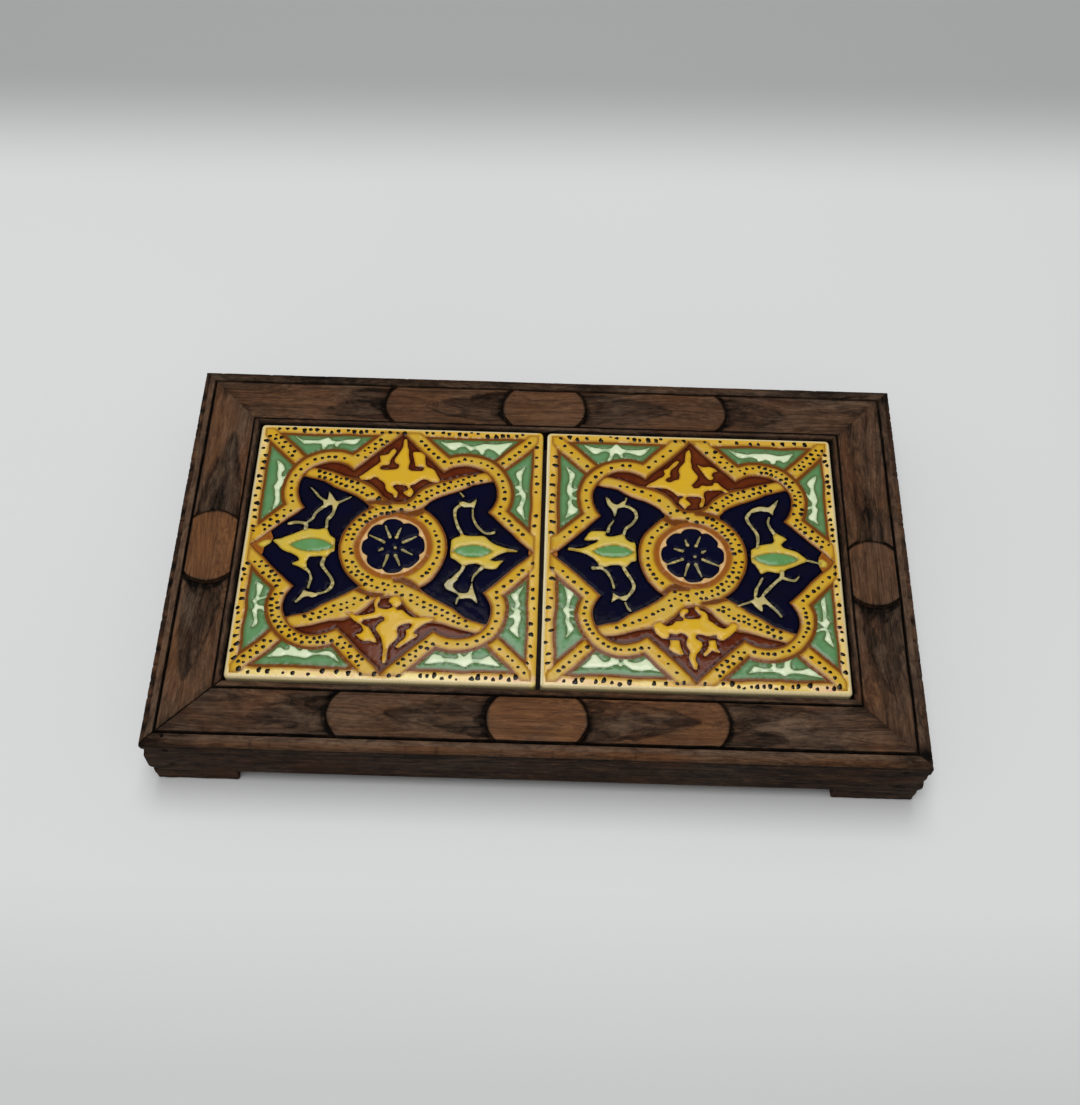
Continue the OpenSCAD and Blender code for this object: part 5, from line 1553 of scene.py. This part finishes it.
def layers(which):
    """The painted layers of one tile, from the ground up: (glaze, outlines, what limits them)."""
    ring_at = RING_AT[which]
    rose_at = ROSETTE_AT[which]
    flourishes = [flowing(turned(loop, side), 0.55) for side in ("top", "bottom", "left", "right")
                  for loop in FLOURISHES[which, side]]
    ground = [(-GROUND, -GROUND), (GROUND, -GROUND), (GROUND, GROUND), (-GROUND, GROUND)]
    star_line = star_loop(STAR_OUT + LINE_W * math.sqrt(2), LOBE_OUT + LINE_W)
    return [
        ("brown", [resample(ground, 0.8)], None),
        ("green", panels(), None),
        ("lime", flourishes, None),
        ("yellow", straps(), None),
        ("brown", [clipped(star_line, GROUND)], None),
        ("yellow", [clipped(star_loop(STAR_OUT, LOBE_OUT), STAR_LIMIT)], None),
        ("brown", [inner_star(0)], None),
        ("maroon", end_fields(), inner_star(0.7)),
        ("blue", side_fields(), inner_star(0.55)),
        ("amber", [resample(loop, 0.5) for loop in TIPS[which]], "blue"),
        ("lemon", [flowing(loop) for loop in TIP_SPOTS[which]], "amber"),
        ("yellow", crossing_bands(), None),
        ("brown", [circle(ring_at, RING_OUT + 0.55 * LINE_W)], "blue"),
        ("yellow", [circle(ring_at, RING_OUT)], None),
        ("gold", [flowing(loop) for loop in FIGURES[which]], None),
        ("lemon", [flowing(loop) for loop in EYES[which]], None),
        ("lens", [lens(*place) for place in LENSES[which]], None),
        ("pale", [flowing(loop) for loop in BUDS[which]], None),
        ("pale", [brush(*stem) for stem in STEMS[which]], None),
        ("brown", [brush(*line) for line in CROSSINGS[which]], "yellow"),
        ("amber", [circle(rose_at, RING_IN)], None),
        ("sand", [circle(rose_at, SAND_R)], None),
        ("petals", [petals(rose_at, ROSETTE_TURN[which])], None),
        ("pale", [brush(0.95, 0.4, [a, b]) for a, b in SPOKES[which]], None),
        ("pale", [circle((rose_at[0] + 0.9, rose_at[1] - 0.6), 0.6, 0.3)], None),
    ]


def tile_rim(step=1.1):
    """The outline where a tile's flat face ends and its rounded edge begins."""
    radius = max(TILE_CORNER_R - TILE_EDGE_R, 0.3)
    corner = FACE_HALF - radius
    loop = []
    for k in range(4):
        cx = corner * (1 if k in (0, 3) else -1)
        cy = corner * (1 if k in (0, 1) else -1)
        for t in range(4):
            a = math.radians(k * 90 + 30 * t)
            loop.append((cx + radius * math.cos(a), cy + radius * math.sin(a)))
    return resample(loop, step)


def wander(points, which):
    """Lets outlines stray a little, as a hand-cut stencil and brush do."""
    seed = 60 if which == "left" else 90
    x = points[:, 0] / 7.0
    y = points[:, 1] / 7.0
    keep = smooth((52.0 - np.abs(points).max(axis=1)) / 2.0)[:, None]
    shift = np.stack([soft_noise(x, y, seed), soft_noise(x + 5, y + 9, seed + 1)], axis=1) * 0.32
    fine = np.stack([soft_noise(x * 5, y * 5, seed + 2), soft_noise(x * 5, y * 5, seed + 3)], axis=1) * 0.09
    return points + (shift + fine) * keep


def place_tree(places):
    """A tree that finds the nearest of the given places."""
    tree = KDTree(len(places))
    for k, place in enumerate(places):
        tree.insert((place[0], place[1], 0), k)
    tree.balance()
    return tree


def filling(tree):
    """A grid of points that stays clear of the outlines, each moved a little."""
    rng = np.random.default_rng(7)
    grid = np.arange(0.5 - FACE_HALF, FACE_HALF - 0.5, 0.85)
    gx, gy = np.meshgrid(grid, grid)
    fill = np.stack([gx.ravel(), gy.ravel()], axis=1) + rng.uniform(-0.22, 0.22, (gx.size, 2))
    return [Vector((float(x), float(y))) for x, y in fill if tree.find((x, y, 0))[2] > 0.42]


def paint_tile(which):
    """One tile's face, split along its painted outlines: points, triangles and glaze of each."""
    rim = tile_rim()
    parts = [(name, [wander(loop, which) for loop in loops],
              wander(limit, which) if isinstance(limit, np.ndarray) else limit)
             for name, loops, limit in layers(which)]
    loops = [rim] + [loop for _, group, _ in parts for loop in group]
    loops += [limit for _, _, limit in parts if isinstance(limit, np.ndarray)]
    verts, edges = [], []
    for loop in loops:
        start = len(verts)
        verts += [Vector((float(x), float(y))) for x, y in loop]
        edges += [(start + k, start + (k + 1) % len(loop)) for k in range(len(loop))]
    verts += filling(place_tree(verts))
    out, _, tris, kept, _, _ = delaunay_2d_cdt(verts, edges, [], 0, 1e-5, True)
    points = np.array([(v.x, v.y) for v in out])
    tris = np.array([t for t in tris])
    centre = points[tris].mean(axis=1)
    own = {old: new for new, olds in enumerate(kept) for old in olds}
    ring = [own[k] for k in range(len(rim))]
    within = inside(points[ring], centre)
    tris = tris[within]
    centre = centre[within]
    glaze = np.zeros(len(tris), int)
    for name, group, limit in parts:
        for loop in group:
            mask = inside(loop, centre)
            if isinstance(limit, np.ndarray):
                mask &= inside(limit, centre)
            elif limit is not None:
                mask &= glaze == GLAZE_INDEX[limit]
            glaze[mask] = GLAZE_INDEX[name]
    return points, tris, glaze, ring


def outline_distance(points, tris, glaze):
    """How far each point lies from the nearest change of glaze, and the glaze it lies in."""
    sides = {}
    for k, (a, b, c) in enumerate(tris):
        for edge in ((a, b), (b, c), (c, a)):
            sides.setdefault((min(edge), max(edge)), []).append(k)
    spots = []
    on_border = np.zeros(len(points), bool)
    for (a, b), faces in sides.items():
        if len(faces) == 2 and glaze[faces[0]] != glaze[faces[1]]:
            on_border[[a, b]] = True
            spots += [points[a], (points[a] + points[b]) / 2, points[b]]
    tree = place_tree(spots)
    distance = np.array([tree.find((x, y, 0))[2] for x, y in points])
    distance[on_border] = 0
    belongs = np.zeros(len(points), int)
    for k in range(3):
        belongs[tris[:, k]] = glaze
    return distance, belongs


# How thickly dots lie on each part of the pattern: (spacing, rows). The four quarters run
# anticlockwise from the back right, and the border's halves from the back edge
DOTS = {
    "left": {
        "point_a": [(3.6, 1), (3.2, 2), (3.4, 2), (3.0, 2)],
        "point_b": [(3.6, 1), (3.4, 2), (2.8, 2), (4.0, 1)],
        "lobe": [(4.4, 1), (4.2, 1), (3.0, 2), (4.6, 1)],
        "strap": [(4.0, 1), (3.2, 2), (3.2, 2), (4.6, 1)],
        "band": [(3.0, 2), (2.8, 2), (3.2, 2), (3.2, 2)],
        "ring": [(3.6, 1), (3.0, 2), (2.8, 2), (3.4, 1)],
        "border": [(4.0, 1), (3.6, 1), (4.4, 1), (3.8, 1), (5.5, 1), (3.6, 1), (7.0, 1), (6.0, 1)]},
    "right": {
        "point_a": [(2.9, 2), (5.5, 1), (4.6, 1), (3.2, 2)],
        "point_b": [(3.4, 2), (4.6, 1), (5.0, 1), (3.6, 1)],
        "lobe": [(2.9, 2), (5.5, 1), (3.6, 1), (3.6, 1)],
        "strap": [(3.2, 2), (6.5, 1), (3.6, 1), (4.0, 1)],
        "band": [(2.9, 2), (5.0, 1), (3.6, 1), (2.7, 2)],
        "ring": [(2.9, 2), (3.4, 1), (3.4, 1), (2.8, 2)],
        "border": [(6.5, 1), (4.0, 1), (6.0, 1), (6.0, 1), (5.0, 1), (3.2, 1), (4.4, 1), (3.2, 1)]}}
BORDER_HALVES = [("top", 0, 50), ("top", -50, 0), ("left", 0, 50), ("left", -50, 0),
                 ("bottom", -50, 0), ("bottom", 0, 50), ("right", -50, 0), ("right", 0, 50)]


def dot_row(route, spacing, rows, spread, rng):
    """Dots along a route: one row, or two rows that take turns."""
    step = 0.25
    line = resample(route, step, closed=False)
    left = headings(line)[1]
    result = []
    at = rng.uniform(0.2, 1.0) * spacing
    side = 1
    while at < step * (len(line) - 1) - 0.3:
        k = min(int(at / step), len(line) - 1)
        off = (side * spread if rows == 2 else 0) + rng.uniform(-0.35, 0.35)
        result.append(line[k] + left[k] * off)
        side = -side
        at += spacing * rng.uniform(0.5, 0.95) / (1.7 if rows == 2 else 1)
    return result


def arc_route(middle, radius, a0, a1):
    return round_route(middle, radius, np.radians(np.linspace(a0, a1, 24)))


def dots(which):
    """Where the dark dots sit on the straps, the ring and the border of one tile."""
    rng = np.random.default_rng(11 if which == "left" else 29)
    plan = DOTS[which]
    mid_r = (LOBE_OUT + LOBE_IN) / 2
    reach = (STAR_OUT + STAR_IN) / 2
    t = lobe_meets(reach, mid_r)
    a0 = math.degrees(math.atan2(reach / 2 - t - LOBE_C, reach / 2 + t - LOBE_C))
    point = np.array([(reach / 2 + t, reach / 2 - t), (reach - 6, 6)])
    lobe = arc_route((LOBE_C, LOBE_C), mid_r, a0 + 4, 86 - a0)
    strap = np.array([(38.4, 38.4), (50.4, 50.4)])
    back = np.array([(31, 32.2), (25, 30.4), (20, 28.6), (15, 26.6), (11, 24), (7, 20.6)])
    front = np.array([(31, 32), (25, 29.4), (20, 26.6), (15, 24.2), (11, 21.8), (7, 19)])
    spots = []
    for k, mirror in enumerate(((1, 1), (-1, 1), (-1, -1), (1, -1))):
        band = (back if k < 2 else front) * np.array(mirror)
        ring = arc_route(RING_AT[which], RING_DOTS_R, 90 * k, 90 * k + 90)
        turn = quarter_turn(k)
        for part, route, spread in (("point_a", point @ turn, 1.0), ("point_b", point[:, ::-1] @ turn, 1.0),
                                    ("lobe", lobe @ turn, 0.95), ("strap", strap @ turn, 1.0),
                                    ("band", band, 1.1), ("ring", ring, 1.1)):
            spots += dot_row(route, *plan[part][k], spread, rng)
    for (side, low, high), density in zip(BORDER_HALVES, plan["border"]):
        row = dot_row(turned([(low, 51.6), (high, 51.6)], side), *density, 0.5, rng)
        spots += [spot + rng.uniform(-0.5, 0.5, 2) for spot in row]
    for route in OVER[which]:
        spots += dot_row(np.array(route), 3.2, 2, 1.0, rng)
    kept = []
    for spot in spots:
        if all(np.hypot(*(spot - other)) > 1.75 for other in kept):
            kept.append(spot)
    return kept, rng


class TileMesh:
    """A tile's points and faces while it is built, with the glaze and edge values they carry."""

    def __init__(self, which):
        self.which = which
        self.seed = 40 if which == "left" else 41
        self.flat, tris, glaze, self.ring = paint_tile(which)
        self.distance, self.belongs = outline_distance(self.flat, tris, glaze)
        within = TILE / 2 - np.abs(self.flat).max(axis=1)
        self.z = self.glaze_height(within)
        self.points = [(x, y, h) for (x, y), h in zip(self.flat, self.z)]
        self.faces = tris.tolist()
        self.kinds = glaze.tolist()
        self.rim = np.clip(self.distance / RIM_REACH, 0, 1).tolist()
        self.edge = np.clip(within / 4.0, 0, 1).tolist()

    def glaze_height(self, within):
        """Each glaze swells to its own height away from its outline."""
        x, y = self.flat[:, 0], self.flat[:, 1]
        tall = np.array([glaze[0] for glaze in GLAZES.values()])[self.belongs]
        swell = 0.82 + 0.18 * soft_noise(x * 0.3, y * 0.3, self.seed)
        lift = 0.01 + tall * smooth(self.distance / 0.6) * swell
        return TILE_TOP + lift * smooth((within - TILE_EDGE_R) / 0.8)

    def add_point(self, x, y, z, rim, edge):
        self.points.append((x, y, z))
        self.rim.append(rim)
        self.edge.append(edge)
        return len(self.points) - 1

    def add_face(self, loop, glaze):
        self.faces.append(loop)
        self.kinds.append(GLAZE_INDEX[glaze])


def add_sides(tile):
    """Rings down the tile's rounded edge and its sides, and the clay underneath."""
    ring = tile.ring
    base = tile.flat[ring]
    core = np.clip(base, 0.3 - FACE_HALF, FACE_HALF - 0.3)
    outward = base - core
    outward /= np.maximum(np.linalg.norm(outward, axis=1, keepdims=True), 1e-9)
    steps = [(TILE_EDGE_R * math.sin(a), TILE_EDGE_R * (1 - math.cos(a)), "border")
             for a in np.radians([18, 36, 54, 72, 90])]
    steps += [(TILE_EDGE_R, 3.0, "border"), (TILE_EDGE_R, 4.6, "border"), (TILE_EDGE_R, 6.6, "clay"),
              (TILE_EDGE_R - 0.05, 9.2, "clay"), (TILE_EDGE_R - 0.4, TILE_THICK, "clay")]
    rough = soft_noise(np.arange(len(ring)) * 0.21, np.zeros(len(ring)), tile.seed + 2)
    for out, down, glaze in steps:
        pull = 0.05 * (1 + rough) * min(1, down / 2)
        place = base + outward * (out - pull)[:, None]
        below = [tile.add_point(x, y, TILE_TOP - down, 1.0, 0.0) for x, y in place]
        for k in range(len(ring)):
            j = (k + 1) % len(ring)
            tile.add_face([ring[k], below[k], below[j], ring[j]], glaze)
        ring = below
    tile.add_face(ring[::-1], "clay")


def add_dots(tile):
    """Dots are small domes of dark glaze that stand a hair above the straps."""
    count = 10
    tree = place_tree(tile.flat)
    spots, rng = dots(tile.which)
    bearing = [GLAZE_INDEX["yellow"], GLAZE_INDEX["border"]]
    highest = TILE_TOP + RELIEF
    for sx, sy in spots:
        k = tree.find((sx, sy, 0))[1]
        if tile.belongs[k] not in bearing or tile.distance[k] < 0.25:
            continue
        r = rng.uniform(0.7, 1.1)
        a0 = rng.uniform(0, 6.28)
        squeeze = rng.uniform(0.78, 1.0)
        middle = tile.add_point(sx, sy, min(tile.z[k] + 0.06, highest), 1.0, 1.0)
        rings = []
        for share, lift, rim in ((0.6, 0.045, 1.0), (1.0, -0.05, 0.6)):
            height = min(tile.z[k] + lift, highest)
            turns = [a0 + i * 2 * math.pi / count for i in range(count)]
            reach = [r * share * (1 + 0.1 * math.sin(3 * a + a0)) for a in turns]
            ring = [(sx + w * math.cos(a), sy + w * squeeze * math.sin(a)) for a, w in zip(turns, reach)]
            rings.append([tile.add_point(x, y, height, rim, 1.0) for x, y in ring])
        inner, outer = rings
        for i in range(count):
            j = (i + 1) % count
            tile.add_face([middle, inner[i], inner[j]], "dots")
            tile.add_face([inner[i], outer[i], outer[j], inner[j]], "dots")


def make_tile(name, which, x_shift, materials):
    """A glazed tile: painted face, rounded glazed edge, sides and bare clay underneath."""
    tile = TileMesh(which)
    add_sides(tile)
    add_dots(tile)
    points = np.array(tile.points)
    points[:, :2] += hand_shift(points[:, :2], which)
    local = points[:, :2].copy()
    points[:, 0] += x_shift
    piece = new_piece(name, points, tile.faces, materials, tile.kinds, sharp=50)
    edge = np.array(tile.edge)
    if which == "left":
        edge = np.maximum(edge, 0.5 * smooth((local[:, 0] - 51.5) / 1.0))
    set_value(piece, "rim", tile.rim)
    set_value(piece, "edge", edge)
    set_value(piece, "paling_and_reflection", paling_and_reflection(local, which))
    return piece


def hand_shift(place, which):
    """How far the painting strays from the tile's middle: forward, but drawn back along the front edge."""
    within = smooth((52.2 - np.abs(place).max(axis=1)) / 3)
    front = smooth((-place[:, 1] - 16) / 26)
    ahead = -0.65 * (1 - front) + 0.85 * front
    ahead = ahead + 0.7 * smooth((-place[:, 0] - 22) / 12) * smooth(1 - np.abs(place[:, 1] + 26) / 16)
    if which == "left":
        ahead = ahead + 0.35 * smooth((place[:, 1] - 15) / 25)
        aside = np.full(len(place), 0.3)
    else:
        aside = 0.4 + 0.4 * smooth((-place[:, 0] - 20) / 20)
    return np.stack([aside * within, ahead * within], axis=1)


def paling_and_reflection(place, which):
    """How pale the border strip is painted: most at the front edge, as painted reflection, and at the left
    tile's left edge; along the right tile's edge by the joint it is a painted highlight.
    """
    x, y = place[:, 0], place[:, 1]
    left_edge = smooth((-x - 49) / 2) * (0.08 + 0.4 * smooth((y + 2) / 14))
    front_edge = smooth((-y - 49) / 2)
    if which == "left":
        front = front_edge * 0.72 * (1 - 0.7 * smooth(1 - np.abs(x) / 9))
        return np.clip(np.maximum(front, left_edge), 0, 1)
    front = front_edge * 0.6 * (1 - 0.7 * smooth(1 - np.abs(x + 4) / 9))
    right_edge = smooth((x - 49) / 2) * 0.42
    joint_edge = smooth((-x - 53.1) / 0.4)
    return np.clip(np.maximum.reduce([front, left_edge * 0.5, right_edge, joint_edge]), 0, 1)


def glaze_materials():
    """One material for each glaze, in the order of the table."""
    own = {"border": border_material, "clay": clay_material}
    return [own[name]() if name in own else glaze_material("glaze_" + name, *look)
            for name, (_, *look) in GLAZES.items()]


def make_tiles():
    materials = glaze_materials()
    for which, side in (("left", -1), ("right", 1)):
        piece = make_tile("painted_" + which + "_tile", which, side * TILE_X, materials)
        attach(piece, "root")
        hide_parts(which + "_tile")


# Floor, light and camera

def make_floor():
    side, parts = 4.0, 40
    lines = np.linspace(-side / 2, side / 2, parts + 1)
    points = [(x / MM, y / MM, 0) for y in lines for x in lines]
    faces = []
    for j in range(parts):
        for i in range(parts):
            k = j * (parts + 1) + i
            faces.append([k, k + 1, k + parts + 2, k + parts + 1])
    floor = new_piece("floor", points, faces, [floor_material()])


def make_light():
    world = bpy.data.worlds.new("studio")
    bpy.context.scene.world = world
    world.use_nodes = True
    background = world.node_tree.nodes["Background"]
    background.inputs["Color"].default_value = (1, 1, 1, 1)
    background.inputs["Strength"].default_value = 0.28
    lamp = bpy.data.lights.new("overhead_panel", "AREA")
    lamp.shape = "RECTANGLE"
    lamp.size = 1.9
    lamp.size_y = 0.75
    lamp.energy = 32.0
    lamp_object = new_object("overhead_panel", lamp)
    lamp_object.location = (-0.1, 0.02, 1.9)
    lamp_object.rotation_euler = (-lamp_object.location).to_track_quat("-Z", "Y").to_euler()


def make_camera():
    azimuth, elevation, roll = (math.radians(v) for v in (CAM_AZIMUTH, CAM_ELEVATION, CAM_ROLL))
    back = Vector((math.sin(azimuth) * math.cos(elevation), -math.cos(azimuth) * math.cos(elevation),
                   math.sin(elevation)))
    right = Vector((math.cos(azimuth), math.sin(azimuth), 0))
    up = back.cross(right)
    turned_right = right * math.cos(roll) + up * math.sin(roll)
    turned_up = up * math.cos(roll) - right * math.sin(roll)
    camera = bpy.data.cameras.new("camera")
    camera.sensor_fit = "VERTICAL"
    camera.sensor_height = CAM_SENSOR
    camera.lens = CAM_SENSOR * CAM_FOCAL_SHARE
    camera.clip_start = 0.01
    camera_object = new_object("camera", camera)
    place = (Vector(CAM_TARGET) + back * CAM_DISTANCE) * MM
    turn = Matrix((turned_right, turned_up, back)).transposed()
    camera_object.matrix_world = Matrix.Translation(place) @ turn.to_4x4()
    bpy.context.scene.camera = camera_object


def dress_cad_nodes():
    """Gives the CAD pieces that stay their procedural materials."""
    mortar = mortar_material()
    wire = steel_material("brad_wire", (84, 78, 70), (118, 112, 102), 0.85, (0.32, 0.7), 0.5, (92, 58, 38))
    stained = steel_material("stained_brad", (30, 23, 18), (44, 35, 28), 0.0, (0.7, 0.9), 0.05, (34, 24, 17))
    looks = {"backing_panel": plywood_material(), "left_tile_bed": mortar, "right_tile_bed": mortar,
             "panel_brads": wire, "foot_brads": wire, "corner_brads": stained}
    for name, material in looks.items():
        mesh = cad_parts[name].data
        if not mesh.materials:
            mesh.materials.append(material)
        for slot in range(len(mesh.materials)):
            mesh.materials[slot] = material


bpy.context.scene.view_settings.view_transform = "Standard"
make_camera()
make_light()
make_floor()
wood = wood_material()
make_rails(wood)
make_feet(wood)
make_tiles()
dress_cad_nodes()
